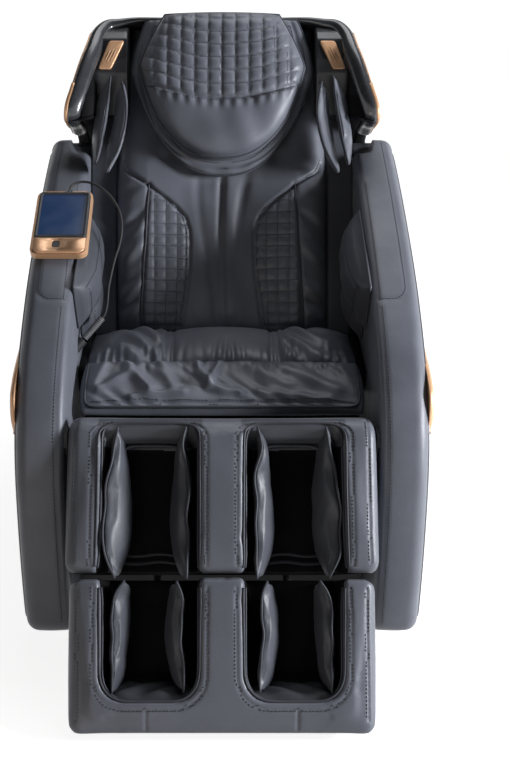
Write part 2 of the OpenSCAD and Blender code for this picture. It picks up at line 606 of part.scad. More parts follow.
module transport_wheel(side) color(black) chair() at_side(side)
    translate([240, 350, 39]) rotate([0, 90, 0]) rotate_extrude($fn = 56)
        polygon([[8 + run_gap, 0], [30, 0], [35, 4], [35, 22], [30, 26], [8 + run_gap, 26]]);

base_frame();
base_feet();
recline_shaft();
side_shell(-1);  // side_shell_left
side_shell(1);  // side_shell_right
side_trims();
arm_body(-1);  // arm_body_left
arm_body(1);  // arm_body_right
arm_pad(-1);  // arm_pad_left
arm_pad(1);  // arm_pad_right
arm_airbags();
seat_tray();
seat_pad();
seat_apron();
back_frame();
carriage_rails();
back_shell();
back_pad();
pillow_base();
head_pillow();
wing(-1);  // wing_left
wing(1);  // wing_right
wing_trims();
speaker_grilles();
shoulder_airbags();
carriage();
carriage_motor();
knead_arm(-1);  // knead_arm_left
knead_arm(1);  // knead_arm_right
back_roller(-1, 1);  // roller_upper_left
back_roller(-1, -1);  // roller_lower_left
back_roller(1, 1);  // roller_upper_right
back_roller(1, -1);  // roller_lower_right
calf_post(-1);  // calf_post_left
calf_post(1);  // calf_post_right
calf_post_center();
calf_lining();
calf_frame();
calf_airbags();
foot_shoe();
foot_roller();
foot_airbags();
foot_frame();
remote_holder();
remote_body();
remote_screen();
home_button();
remote_cord();
cord_sleeve();
cord_gland();
control_box();
rear_cover();
air_pump();
valve_block();
power_inlet();
power_switch();
transport_wheel(-1);  // transport_wheel_left
transport_wheel(1);  // transport_wheel_right
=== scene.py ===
import json
import math

import bmesh
import bpy
import numpy as np
from mathutils import Matrix, Vector
from mathutils.bvhtree import BVHTree


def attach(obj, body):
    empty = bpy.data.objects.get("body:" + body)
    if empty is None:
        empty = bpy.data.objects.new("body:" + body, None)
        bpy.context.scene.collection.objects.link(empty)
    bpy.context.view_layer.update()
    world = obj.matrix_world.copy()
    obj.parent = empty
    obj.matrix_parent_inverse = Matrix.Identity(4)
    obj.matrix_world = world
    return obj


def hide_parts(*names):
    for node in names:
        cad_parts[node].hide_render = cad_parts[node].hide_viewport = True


# Massage chair: upholstery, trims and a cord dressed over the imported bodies, on a plain studio floor.
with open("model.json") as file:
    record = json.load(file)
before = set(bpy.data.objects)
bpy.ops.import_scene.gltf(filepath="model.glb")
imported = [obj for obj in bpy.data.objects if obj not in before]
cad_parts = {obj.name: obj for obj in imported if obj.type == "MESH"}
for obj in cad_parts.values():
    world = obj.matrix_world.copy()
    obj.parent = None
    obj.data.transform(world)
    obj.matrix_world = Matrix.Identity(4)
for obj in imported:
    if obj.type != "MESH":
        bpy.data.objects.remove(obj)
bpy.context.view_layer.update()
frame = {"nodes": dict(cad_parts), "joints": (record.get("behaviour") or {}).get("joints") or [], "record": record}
nodes = frame["nodes"]
joint = {j["name"]: j for j in frame["joints"]}

# Places of the moving bodies, from the joints: local y points to the rear and local z up along the part
KNEE_ROUND = 0.045
PIVOT_Y = 0.010


def leaning(origin, lean):
    return Matrix.Translation(Vector(origin)) @ Matrix.Rotation(-lean, 4, "X")


up_back = joint["carriage_travel"]["axis"]
down_leg = joint["foot_extension"]["axis"]
pivot = joint["recline"]["pos_m"]
BACK = leaning(pivot, math.atan2(up_back[1], up_back[2]))
LEG = leaning(joint["leg_lift"]["pos_m"], math.atan2(-down_leg[1], -down_leg[2]))
LEG = LEG @ Matrix.Translation((0, -KNEE_ROUND, KNEE_ROUND))
CHAIR = Matrix.Translation((0, pivot[1] - PIVOT_Y, 0))
SIDES = {"left": -1, "right": 1}

# Camera: the photograph's view, looking along +Y and down
CAMERA_AT = (0.0, -1.9522, 1.417)
CAMERA_DOWN = math.radians(28)
SENSOR_MM = 36
LENS_MM = 50
CAMERA_SHIFT_X = 0.0425
# The remote's cord: its route in the chair's frame is in millimetres, the other sizes are in metres
CORD_D = 0.005
CORD_ROUTE = [
    (-310, 82, 740), (-310, 91, 744), (-304, 100, 748), (-290, 105, 751), (-272, 101, 751), (-252, 88, 747),
    (-233, 70, 739), (-217, 50, 727), (-205, 28, 711), (-200, 6, 689), (-204, -14, 662), (-214, -34, 634),
    (-221, -50, 608), (-226, -62, 584), (-228, -72, 562), (-231, -80, 546), (-236, -86, 535),
    (-249, -95, 522), (-262, -104, 510), (-276, -114, 496),
]
SLEEVE_FROM = 16
SLEEVE_TURNS = 15
SLEEVE_STEPS = 16
SLEEVE_BARE = 0.004
SLEEVE_R = 0.006
WIRE_R = 0.0013


# Curves and meshes
def mm(points):
    """Points given in millimetres, in metres."""
    return np.array(points) / 1000


def smooth(points, n):
    """Catmull-Rom points through an open list, n steps to a span."""
    p = np.array(points, float)
    p = np.vstack([p[:1], p, p[-1:]])
    t = np.linspace(0, 1, n, endpoint=False)[:, None]
    spans = []
    for a, b, c, d in zip(p, p[1:], p[2:], p[3:]):
        bend = (2 * a - 5 * b + 4 * c - d) * t ** 2 + (3 * b - a - 3 * c + d) * t ** 3
        spans.append(0.5 * (2 * b + (c - a) * t + bend))
    return np.vstack(spans + [p[-1:]])


def arc(centre, r, a0, a1, n):
    """Points of a circle from angle a0 to a1 in degrees, in n steps."""
    a = np.radians(np.linspace(a0, a1, n + 1))
    return np.array(centre) + r * np.column_stack([np.cos(a), np.sin(a)])


def even(points, step, closed=False):
    """The same path with points about step apart."""
    p = np.array(points, float)
    if closed:
        p = np.vstack([p, p[:1]])
    along = np.concatenate([[0], np.cumsum(np.linalg.norm(np.diff(p, axis=0), axis=1))])
    n = max(2, int(round(along[-1] / step)))
    at = np.linspace(0, along[-1], n + 1)[:n if closed else None]
    return np.column_stack([np.interp(at, along, p[:, k]) for k in range(p.shape[1])])


def inset(outline, d):
    """A counter-clockwise outline drawn in by d along its normals."""
    e = np.roll(outline, -1, 0) - np.roll(outline, 1, 0)
    e /= np.linalg.norm(e, axis=1)[:, None]
    return outline + d * np.column_stack([-e[:, 1], e[:, 0]])


def eased(outline, rounds):
    """A closed outline with its corners worn down."""
    for _ in range(rounds):
        outline = (np.roll(outline, 1, 0) + 2 * outline + np.roll(outline, -1, 0)) / 4
    return outline


def new_mesh(name, points, faces, place=None):
    mesh = bpy.data.meshes.new(name)
    mesh.from_pydata([tuple(p) for p in points], [], [tuple(f) for f in faces])
    if place is not None:
        mesh.transform(place)
    mesh.shade_smooth()
    piece = bpy.data.objects.new(name, mesh)
    bpy.context.scene.collection.objects.link(piece)
    return piece


def ring_faces(rings, m, closed=True):
    """Quads between rings of m points, numbered ring by ring."""
    faces = []
    for k in range(rings - 1):
        for i in range(m if closed else m - 1):
            a, b = k * m + i, k * m + (i + 1) % m
            faces.append((a, b, b + m, a + m))
    return faces


def fan(ring, hub):
    """Triangles from a ring of points to one in its middle."""
    return [(a, b, hub) for a, b in zip(ring, ring[1:] + ring[:1])]


def loft(name, rings, place=None):
    """A closed mesh through equal rings of points, its ends filled to their middles."""
    rings = np.array(rings, float)
    k, m, _ = rings.shape
    hubs = [rings[0].mean(0), rings[-1].mean(0)]
    points = np.vstack([rings.reshape(-1, 3), hubs])
    first = list(range(m))[::-1]
    last = list(range((k - 1) * m, k * m))
    faces = ring_faces(k, m) + fan(first, k * m) + fan(last, k * m + 1)
    return new_mesh(name, points, faces, place)


def facing_out(piece):
    mesh = bmesh.new()
    mesh.from_mesh(piece.data)
    bmesh.ops.recalc_face_normals(mesh, faces=mesh.faces)
    mesh.to_mesh(piece.data)
    mesh.free()
    return piece


def slab(name, outline, x0, x1, r0, r1, bulge=0.0, place=None):
    """An outline [y, z] across X with edges rounded by r0 and r1, swollen by bulge between them."""
    turn = np.radians(np.linspace(0, 90, 7))
    near = [(x0 + r0 * (1 - math.cos(a)), r0 * (1 - math.sin(a))) for a in turn]
    far = [(x1 - r1 * (1 - math.cos(a)), r1 * (1 - math.sin(a))) for a in turn[::-1]]
    gap = far[0][0] - near[-1][0]
    steps = max(2, int(gap / 0.005))
    middle = [(near[-1][0] + gap * k / steps, 0.0) for k in range(1, steps)]
    rings = []
    for x, d in near + middle + far:
        swell = bulge * max(0.0, 1 - ((2 * x - x0 - x1) / (x1 - x0)) ** 2)
        rings.append([(x, y, z) for y, z in inset(outline, d - swell)])
    return facing_out(loft(name, rings, place))


def crown(s, t, power=4, fall=0.6):
    """Swell of a cushion, full in the middle and drawn in at the rim."""
    return (np.clip(1 - np.abs(s) ** power, 0, 1) * np.clip(1 - np.abs(t) ** power, 0, 1)) ** fall


def pad_places(half, s, t, corner, taper=0.0, lift=0.0):
    """Where grid places (s, t) from -1 to 1 fall on a pad: bowed sides, narrow top, lifted lower corners."""
    hang = (1 - t) / 2
    x = half[0] * s * np.sqrt(1 - corner * t * t) * (1 - taper * np.clip(t, 0, 1))
    x = x * (1 - lift / (2 * half[1]) * hang ** 2)
    return x, half[1] * t * np.sqrt(1 - corner * s * s) + lift * np.abs(s) ** 2.5 * hang


def pad(name, half, rim, face, place, step=0.004, corner=0.06, taper=0.0, belly=0.004, lift=0.0):
    """A cushion on a grid, wide along x and tall along z: flat behind, front at -rim - face(x, z, s, t)."""
    nu, nv = int(2 * half[0] / step) | 1, int(2 * half[1] / step) | 1
    s, t = np.meshgrid(np.linspace(-1, 1, nu), np.linspace(-1, 1, nv))
    x, z = pad_places(half, s, t, corner, taper, lift)
    front = np.stack([x, -rim - face(x, z, s, t), z], -1).reshape(-1, 3)
    index = np.arange(nu * nv).reshape(nv, nu)
    edge = np.concatenate([index[0, :-1], index[:-1, -1], index[-1, :0:-1], index[:0:-1, 0]])
    border = front[edge]
    along = np.roll(border, -1, 0) - np.roll(border, 1, 0)
    out = np.column_stack([along[:, 2], np.zeros(len(edge)), -along[:, 0]])
    out /= np.linalg.norm(out, axis=1)[:, None] + 1e-12
    walls = []
    for share, swell in ((0.2, 0.6), (0.45, 1.0), (0.75, 0.8), (1.0, 0.0)):
        ring = border + out * belly * swell
        ring[:, 1] = border[:, 1] * (1 - share)
        walls.append(ring)
    m, n = len(edge), nu * nv
    points = np.vstack([front] + walls + [[[0, 0, 0]]])
    faces = [(a, a + 1, a + 1 + nu, a + nu) for a in index[:-1, :-1].ravel()]
    rings = [list(edge)] + [list(range(n + k * m, n + (k + 1) * m)) for k in range(len(walls))]
    for low, high in zip(rings, rings[1:]):
        faces += [(low[i], high[i], high[(i + 1) % m], low[(i + 1) % m]) for i in range(m)]
    faces += fan(rings[-1][::-1], n + len(walls) * m)
    return facing_out(new_mesh(name, points, faces, place))


def pad_border(half, y, corner, taper=0.0, lift=0.0, n=30):
    """The rim of a pad as a closed path, n places to a side, brought out by y."""
    k = np.linspace(-1, 1, n, endpoint=False)
    one = np.ones(n)
    s = np.concatenate([k, one, -k, -one])
    t = np.concatenate([-one, k, one, -k])
    x, z = pad_places(half, s, t, corner, taper, lift)
    return np.column_stack([x, np.full(4 * n, -y), z])


def tube(name, path, r, sides=8, closed=False, place=None):
    """A round tube along a path, with a frame that turns no more than the path does."""
    p = np.array(path, float)
    d = np.roll(p, -1, 0) - np.roll(p, 1, 0)
    if not closed:
        d[0], d[-1] = p[1] - p[0], p[-1] - p[-2]
    d /= np.linalg.norm(d, axis=1)[:, None] + 1e-12
    n = np.cross(d[0], (0.31, 0.52, 0.79))
    turn = 2 * np.pi * np.arange(sides) / sides
    rings = []
    for at, way in zip(p, d):
        n = n - way * (n @ way)
        n /= np.linalg.norm(n)
        b = np.cross(way, n)
        rings.append(at + r * (np.cos(turn)[:, None] * n + np.sin(turn)[:, None] * b))
    if not closed:
        return facing_out(loft(name, rings, place))
    top = (len(rings) - 1) * sides
    faces = ring_faces(len(rings), sides)
    faces += [(top + i, top + (i + 1) % sides, (i + 1) % sides, i) for i in range(sides)]
    return facing_out(new_mesh(name, np.vstack(rings), faces, place))


def join(name, pieces):
    """Several meshes as one piece."""
    mesh = bmesh.new()
    for piece in pieces:
        mesh.from_mesh(piece.data)
        bpy.data.objects.remove(piece)
    joined = new_mesh(name, [], [])
    mesh.to_mesh(joined.data)
    mesh.free()
    joined.data.shade_smooth()
    return joined


def coordinates(piece):
    co = np.empty(len(piece.data.vertices) * 3)
    piece.data.vertices.foreach_get("co", co)
    return co.reshape(-1, 3)


def set_coordinates(piece, co):
    piece.data.vertices.foreach_set("co", np.ascontiguousarray(co).ravel())
    piece.data.update()


# Seams, stitches and piping, all laid on a finished surface
def tree_of(piece):
    mesh = piece.data
    return BVHTree.FromPolygons([v.co for v in mesh.vertices], [p.vertices for p in mesh.polygons])


def on_surface(piece, path, step=0.004, closed=False, tree=None):
    """A path laid on a piece: points and normals, step apart."""
    tree = tree or tree_of(piece)
    hits = [tree.find_nearest(Vector(p)) for p in even(path, step, closed)]
    return np.array([h[0] for h in hits]), np.array([h[1] for h in hits])


def groove(piece, path, width=0.004, depth=0.002, closed=False):
    """Draws the surface in along a path."""
    line, normals = on_surface(piece, path, 0.003, closed)
    co = coordinates(piece)
    near = np.where(((co > line.min(0) - 3 * width) & (co < line.max(0) + 3 * width)).all(1))[0]
    for chunk in np.array_split(near, max(1, len(near) // 2000)):
        if not len(chunk):
            continue
        gap = np.linalg.norm(co[chunk][:, None, :] - line[None], axis=2)
        k = gap.argmin(1)
        pull = depth * np.exp(-(gap.min(1) / width) ** 2)
        co[chunk] -= normals[k] * pull[:, None]
    set_coordinates(piece, co)


def stitches(name, piece, paths, pitch=0.0065, length=0.0044, r=0.0008):
    """Rows of thread along paths on a surface, as one mesh of small six-sided grains."""
    ring = [(math.cos(a), math.sin(a)) for a in np.radians(np.arange(0, 360, 60))]
    points, faces, tree = [], [], tree_of(piece)
    for path in paths:
        line, normals = on_surface(piece, path, pitch, False, tree)
        ways = np.roll(line, -1, 0) - line
        for at, n, way in zip(line[:-1], normals[:-1], ways[:-1]):
            size = np.linalg.norm(way)
            if size < pitch / 2 or size > pitch * 2:
                continue
            way = way / size
            across = np.cross(n, way)
            base = len(points)
            middle = at + n * r * 0.5
            points.append(middle - way * length / 2)
            for end in (-0.3, 0.3):
                for c, w in ring:
                    points.append(middle + way * length * end + r * (c * across + w * n))
            points.append(middle + way * length / 2)
            for i in range(6):
                a, b = base + 1 + i, base + 1 + (i + 1) % 6
                faces += [(base, b, a), (a, b, b + 6, a + 6), (base + 13, a + 6, b + 6)]
    return new_mesh(name, points, faces)


def piping(name, piece, paths, r=0.0024, closed=False, sink=0.3):
    """Round cords sewn along paths on a surface."""
    tree = tree_of(piece)
    tubes = []
    for path in paths:
        line, normals = on_surface(piece, path, 0.005, closed, tree)
        line = line + normals * r * (1 - sink)
        for _ in range(12):
            line[1:-1] = (line[:-2] + 2 * line[1:-1] + line[2:]) / 4
        tubes.append(tube(name, line, r, 8, closed))
    return join(name, tubes) if len(tubes) > 1 else tubes[0]


def near_path(x, z, path):
    """Distance in the plane from grid places to a path."""
    p = np.array(path, float)
    flat = np.column_stack([x.ravel(), z.ravel()])
    best = np.full(len(flat), 1e9)
    for a, b in zip(p, p[1:]):
        ab = b - a
        k = np.clip(((flat - a) @ ab) / (ab @ ab + 1e-12), 0, 1)
        best = np.minimum(best, np.linalg.norm(flat - a - k[:, None] * ab, axis=1))
    return best.reshape(x.shape)


def cut(x, z, path, width, depth):
    """Height of a rounded ridge, or depth of a rounded valley, along a path."""
    return depth * np.exp(-(near_path(x, z, path) / width) ** 2)


# Materials
class Paint:
    """A procedural material: nodes are added and linked by name of socket."""

    def __init__(self, name, colour, rough, metal=0.0):
        self.material = bpy.data.materials.new(name)
        self.material.use_nodes = True
        self.material.diffuse_color = (*colour, 1)
        self.tree = self.material.node_tree
        self.shader = self.tree.nodes["Principled BSDF"]
        self.shader.inputs["Base Color"].default_value = (*colour, 1)
        self.shader.inputs["Roughness"].default_value = rough
        self.shader.inputs["Metallic"].default_value = metal
        self.place = self.node("ShaderNodeTexCoord").outputs["Object"]
        self.bump = None

    def node(self, kind, links=(), **values):
        made = self.tree.nodes.new(kind)
        for key, value in values.items():
            socket = key.replace("_", " ").title()
            if socket in made.inputs:
                made.inputs[socket].default_value = value
            else:
                setattr(made, key, value)
        for socket, source in links:
            self.tree.links.new(source, made.inputs[socket])
        return made

    def noise(self, scale, detail=3.0, stretch=None):
        place = self.place
        if stretch:
            place = self.node("ShaderNodeMapping", [("Vector", place)], scale=stretch).outputs["Vector"]
        made = self.node("ShaderNodeTexNoise", [("Vector", place)], scale=scale, detail=detail)
        return made.outputs["Fac"]

    def cells(self, scale):
        made = self.node("ShaderNodeTexVoronoi", [("Vector", self.place)], scale=scale)
        return made.outputs["Distance"]

    def between(self, source, low, high, start=0.3, stop=0.7):
        made = self.node("ShaderNodeMapRange", [("Value", source)])
        for socket, value in (("From Min", start), ("From Max", stop), ("To Min", low), ("To Max", high)):
            made.inputs[socket].default_value = value
        return made.outputs["Result"]

    def feed(self, socket, source):
        self.tree.links.new(source, self.shader.inputs[socket])
        return self

    def tint(self, source, low, high, start=0.3, stop=0.7):
        """Colour between low and high, by a 0 to 1 source."""
        ramp = self.node("ShaderNodeValToRGB", [("Fac", source)])
        ramp.color_ramp.elements[0].position = start
        ramp.color_ramp.elements[0].color = (*low, 1)
        ramp.color_ramp.elements[1].position = stop
        ramp.color_ramp.elements[1].color = (*high, 1)
        return self.feed("Base Color", ramp.outputs["Color"])

    def rough(self, source, low, high):
        return self.feed("Roughness", self.between(source, low, high))

    def relief(self, source, strength, distance):
        """One more layer of bump on top of those before it."""
        links = [("Height", source)] + ([("Normal", self.bump)] if self.bump else [])
        self.bump = self.node("ShaderNodeBump", links, strength=strength, distance=distance).outputs["Normal"]
        return self.feed("Normal", self.bump)


def shade(colour, by):
    return tuple(min(1.0, c * by) for c in colour)


def leather(name, colour, gloss=0.42, grain=0.35, shine=0.34):
    """Soft grained leather: fine pebble, faint creases, handling wear in colour and sheen."""
    p = Paint(name, colour, gloss)
    wear = p.noise(7, 5)
    p.tint(wear, shade(colour, 0.82), shade(colour, 1.16))
    p.rough(p.noise(16, 4), gloss - 0.07, gloss + 0.1)
    p.relief(p.noise(38, 5), 0.22, 0.0022)
    p.relief(p.cells(620), grain, 0.0005)
    p.shader.inputs["Specular IOR Level"].default_value = shine
    p.shader.inputs["Sheen Weight"].default_value = 0.1 * shine
    return p.material


def moulded(name, colour, gloss, texture=0.1, coat=0.0, shine=0.5):
    """Moulded plastic: even colour with a fine skin and light handling marks."""
    p = Paint(name, colour, gloss)
    p.tint(p.noise(5, 3), shade(colour, 0.92), shade(colour, 1.08))
    p.rough(p.noise(22, 6), gloss - 0.05, gloss + 0.08)
    p.relief(p.noise(900, 2), texture, 0.0002)
    p.shader.inputs["Specular IOR Level"].default_value = shine
    p.shader.inputs["Coat Weight"].default_value = coat
    p.shader.inputs["Coat Roughness"].default_value = 0.12
    return p.material


def metallic(name, colour, gloss, metal, stretch=None):
    """Metal or metallic lacquer, brushed along the axis that stretch draws out."""
    p = Paint(name, colour, gloss, metal)
    p.tint(p.noise(6, 4), shade(colour, 0.88), shade(colour, 1.1))
    p.rough(p.noise(260, 4, stretch), gloss - 0.08, gloss + 0.1)
    p.relief(p.noise(420, 3, stretch), 0.12, 0.0002)
    return p.material


LEATHER = (0.105, 0.112, 0.135)
PAINTS = {
    "leather": leather("leather", LEATHER),
    "cover": leather("cover", shade(LEATHER, 0.55), 0.42, 0.25, 0.26),
    # lining: near-black with almost no sheen, a painted shade for the wells, the gap fillers, the wing undersides
    # and the ends where the leg units meet
    "lining": leather("lining", (0.005, 0.005, 0.006), 0.70, 0.5, 0.06),
    # sole: leather darkened to a painted shade, for the bottoms of the foot wells and the bars low in the calf
    # wells
    "sole": leather("sole", shade(LEATHER, 0.28), 0.50, 0.3, 0.2),
    "piping": leather("piping", shade(LEATHER, 0.42), 0.50, 0.2, 0.2),
    "thread": moulded("thread", (0.042, 0.042, 0.048), 0.70, 0.3, 0.0, 0.2),
    "shell": moulded("shell", (0.034, 0.035, 0.040), 0.26, 0.03, 0.3),
    "gloss": moulded("gloss", (0.022, 0.023, 0.027), 0.32, 0.03, 0.1, 0.4),
    "side": moulded("side", (0.050, 0.051, 0.058), 0.34, 0.12, 0.15),
    "copper": metallic("copper", (0.60, 0.35, 0.20), 0.36, 0.35),
    # darker copper, a painted shade for the inside of the grille's slots
    "slot_shade": metallic("slot_shade", (0.27, 0.145, 0.078), 0.45, 0.3),
    # steel: a dark powder coat, darkened further as a painted shade where the frame shows through the gaps between
    # the leg units
    "steel": moulded("steel", (0.017, 0.017, 0.019), 0.50, 0.35, 0.0, 0.2),
    "rail": metallic("rail", (0.62, 0.62, 0.64), 0.22, 1.0, (1, 1, 0.05)),
    "black_plastic": moulded("black_plastic", (0.022, 0.022, 0.025), 0.42, 0.3),
    "screen": moulded("screen", (0.018, 0.046, 0.125), 0.16, 0.0, 0.0, 0.3),
    "rubber": moulded("rubber", (0.016, 0.016, 0.017), 0.72, 0.4),
    "spring": moulded("spring", (0.17, 0.17, 0.18), 0.35, 0.1),
    "roller": moulded("roller", (0.150, 0.075, 0.045), 0.38, 0.2),
    "switch": moulded("switch", (0.330, 0.025, 0.018), 0.25, 0.1),
}


def dress(piece, paint, body, *stands_for, fill=None):
    """Paints a piece, hangs it on a body and says which CAD nodes it stands for."""
    piece.data.materials.clear()
    piece.data.materials.append(PAINTS[paint])
    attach(piece, body)
    if stands_for:
        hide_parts(*stands_for)
    return piece


for entry in frame["record"]["subparts"]:
    cad = nodes[entry["node"]]
    cad.data.materials.clear()
    paint = entry["material_slot"]
    cad.data.materials.append(PAINTS["cover" if paint == "dark_fabric" else paint])

# Camera
camera_data = bpy.data.cameras.new("camera")
camera_data.sensor_fit = "VERTICAL"
camera_data.sensor_height = SENSOR_MM
camera_data.lens = LENS_MM
camera_data.shift_x = CAMERA_SHIFT_X
camera = bpy.data.objects.new("camera", camera_data)
camera.location = CAMERA_AT
camera.rotation_euler = (math.pi / 2 - CAMERA_DOWN, 0, 0)
bpy.context.scene.collection.objects.link(camera)
bpy.context.scene.camera = camera


# The remote's cord and the spring sleeve at its lower end
def chair_mm(points):
    """Points given in the chair's own frame in millimetres, moved to the shared frame."""
    return [tuple(CHAIR @ (Vector(p) / 1000)) for p in points]


cord_path = smooth(chair_mm(CORD_ROUTE), 6)
cord_curve = bpy.data.curves.new("remote_cord_line", "CURVE")
cord_curve.dimensions = "3D"
cord_curve.bevel_depth = CORD_D / 2
cord_curve.bevel_resolution = 5
cord_curve.use_fill_caps = True
line = cord_curve.splines.new("POLY")
line.points.add(len(cord_path) - 1)
for spot, p in zip(line.points, cord_path):
    spot.co = (*p, 1)
cord = bpy.data.objects.new("remote_cord_line", cord_curve)
bpy.context.scene.collection.objects.link(cord)

sleeve_a, sleeve_b = (Vector(p) for p in chair_mm([CORD_ROUTE[SLEEVE_FROM], CORD_ROUTE[-1]]))
sleeve_axis = (sleeve_b - sleeve_a).normalized()
sleeve_side = sleeve_axis.cross(Vector((0, 0, 1))).normalized()
sleeve_up = sleeve_axis.cross(sleeve_side)
sleeve_run = (sleeve_b - sleeve_a).length - 2 * SLEEVE_BARE
sleeve_path = []
for k in range(SLEEVE_TURNS * SLEEVE_STEPS + 1):
    angle = 2 * math.pi * k / SLEEVE_STEPS
    spoke = SLEEVE_R * (math.cos(angle) * sleeve_side + math.sin(angle) * sleeve_up)
    run = SLEEVE_BARE + sleeve_run * k / (SLEEVE_TURNS * SLEEVE_STEPS)
    sleeve_path.append(sleeve_a + sleeve_axis * run + spoke)
sleeve = tube("cord_spring", sleeve_path, WIRE_R, 8)
dress(cord, "rubber", "base", "remote_cord")
dress(sleeve, "spring", "base", "cord_sleeve")


# Soft forms: a short cloth simulation lets a closed form swell, then its movement is capped
VOXEL = 0.005
SIM_FRAMES = 20


def evaluated(piece):
    """The piece's mesh with its modifiers applied."""
    depsgraph = bpy.context.evaluated_depsgraph_get()
    mesh = bpy.data.meshes.new_from_object(piece.evaluated_get(depsgraph))
    piece.modifiers.clear()
    old = piece.data
    piece.data = mesh
    bpy.data.meshes.remove(old)
    piece.data.shade_smooth()
    return piece


def remeshed(piece, voxel=VOXEL, rounds=4):
    """The piece as even voxel faces, smoothed for some rounds."""
    made = piece.modifiers.new("voxels", "REMESH")
    made.mode = "VOXEL"
    made.voxel_size = voxel
    soft = piece.modifiers.new("soft", "SMOOTH")
    soft.factor = 0.5
    soft.iterations = rounds
    return evaluated(piece)


def swollen(piece, cap, pressure=4.0):
    """Cloth with inner pressure and no gravity, its movement capped, then one subdivision."""
    rest = coordinates(piece)
    cloth = piece.modifiers.new("cloth", "CLOTH")
    cloth.settings.use_pressure = True
    cloth.settings.uniform_pressure_force = pressure
    cloth.settings.quality = 4
    cloth.settings.effector_weights.gravity = 0
    cloth.collision_settings.use_collision = False
    cloth.point_cache.frame_end = SIM_FRAMES
    for step in range(1, SIM_FRAMES + 1):
        bpy.context.scene.frame_set(step)
    evaluated(piece)
    bpy.context.scene.frame_set(1)
    moved = coordinates(piece) - rest
    far = np.linalg.norm(moved, axis=1)[:, None]
    set_coordinates(piece, rest + moved * np.minimum(1, cap / np.maximum(far, 1e-9)))
    fine = piece.modifiers.new("fine", "SUBSURF")
    fine.levels = 1
    fine.render_levels = 1
    return evaluated(piece)


def wrinkle(place, scale, seed):
    """Smooth waves from a few fixed sines, between about -1 and 1."""
    p = np.asarray(place) * scale
    value = np.zeros(len(p))
    for k in range(1, 6):
        way = (math.sin(seed + 2.4 * k), math.cos(1.7 * seed + 1.3 * k), math.sin(0.6 * seed + 3.1 * k))
        value += np.sin((p @ way) * (0.6 + 0.35 * k) + seed * k) / (1 + 0.4 * k)
    return value / 2.2


def turned(at, *turns):
    """A place in the chair's frame: millimetres, then turns in degrees about named axes."""
    made = Matrix.Translation(Vector(at) / 1000)
    for axis, degrees in turns:
        made = made @ Matrix.Rotation(math.radians(degrees), 4, axis)
    return made


def mirrored(side):
    return Matrix.Scale(SIDES[side], 4, (1, 0, 0))


# Arms: one upholstered form on each side, its top panel marked off by stitched seams
ARM_IN, ARM_OUT = 0.285, 0.3745
ARM_LINE = [(300, 783), (180, 750), (40, 702), (-90, 650), (-174, 608), (-270, 548), (-347, 480), (-398, 395),
            (-424, 300), (-442, 180), (-450, 60)]
ARM_FOOT = [(-446, 44), (-436, 33), (-420, 28), (300, 28), (340, 36)]
ARM_REAR_R = 0.488
ARM_EDGE = 0.023
ARM_INNER_EDGE = 0.014
PANEL_FRONT, PANEL_REAR, PANEL_INNER_REAR = -0.176, 0.285, 0.140
PANEL_OUT, PANEL_IN = 0.353, 0.2945
PANEL_CORNER = 0.026
SEAM_TO_THREAD = 0.004
OUTLINE_STEP = 0.006
arm_line = smooth(mm(ARM_LINE), 12)
arm_rear = arc((PIVOT_Y, pivot[2]), ARM_REAR_R, -44, 50, 24)
arm_outline = even(np.vstack([arm_line, mm(ARM_FOOT), arm_rear]), OUTLINE_STEP, True)
side_outline = eased(inset(eased(arm_outline, 12), 0.020), 6)
TAB_DROP = 0.012


def chair_line(side, places):
    """Places [x, y] over the arm, dropped on its side view line, as points in the row frame."""
    order = np.argsort(arm_line[:, 0])
    heights = np.interp([y for _, y in places], arm_line[order, 0], arm_line[order, 1])
    return [CHAIR @ Vector((SIDES[side] * x, y, z + 0.004)) for (x, y), z in zip(places, heights)]


def arm_front_line(side, x):
    """The seam down the front of an arm, below its top panel."""
    return [CHAIR @ Vector((SIDES[side] * x, y - 0.01, z)) for y, z in arm_line if y < PANEL_FRONT - 0.004]


def step_down(piece, side):
    """Lowers the inner rear corner of an arm in a rounded step, where the shoulder wing passes."""
    co = coordinates(piece)
    local = co - np.array(CHAIR.translation)
    x, y, z = np.abs(local[:, 0]), local[:, 1], local[:, 2]
    edge = 0.245 + 0.100 * np.clip((x - 0.315) / 0.020, 0, 1) ** 2
    high = np.clip((z - 0.64) / 0.06, 0, 1)
    k = np.clip((y - edge) / 0.026, 0, 1)
    co[:, 2] -= TAB_DROP * high * k * k * (3 - 2 * k)
    set_coordinates(piece, co)


TRIM_TOP = [(400, 640), (180, 610), (-40, 560), (-250, 526), (-318, 506), (-344, 484), (-353, 446),
            (-336, 402)]
TRIM_LOW = [(-300, 438), (-230, 470), (-40, 510), (180, 562), (390, 600)]
TRIM_OUT = 0.384
trim_outline = even(np.vstack([smooth(mm(TRIM_TOP), 8), smooth(mm(TRIM_LOW), 8)]), OUTLINE_STEP, True)

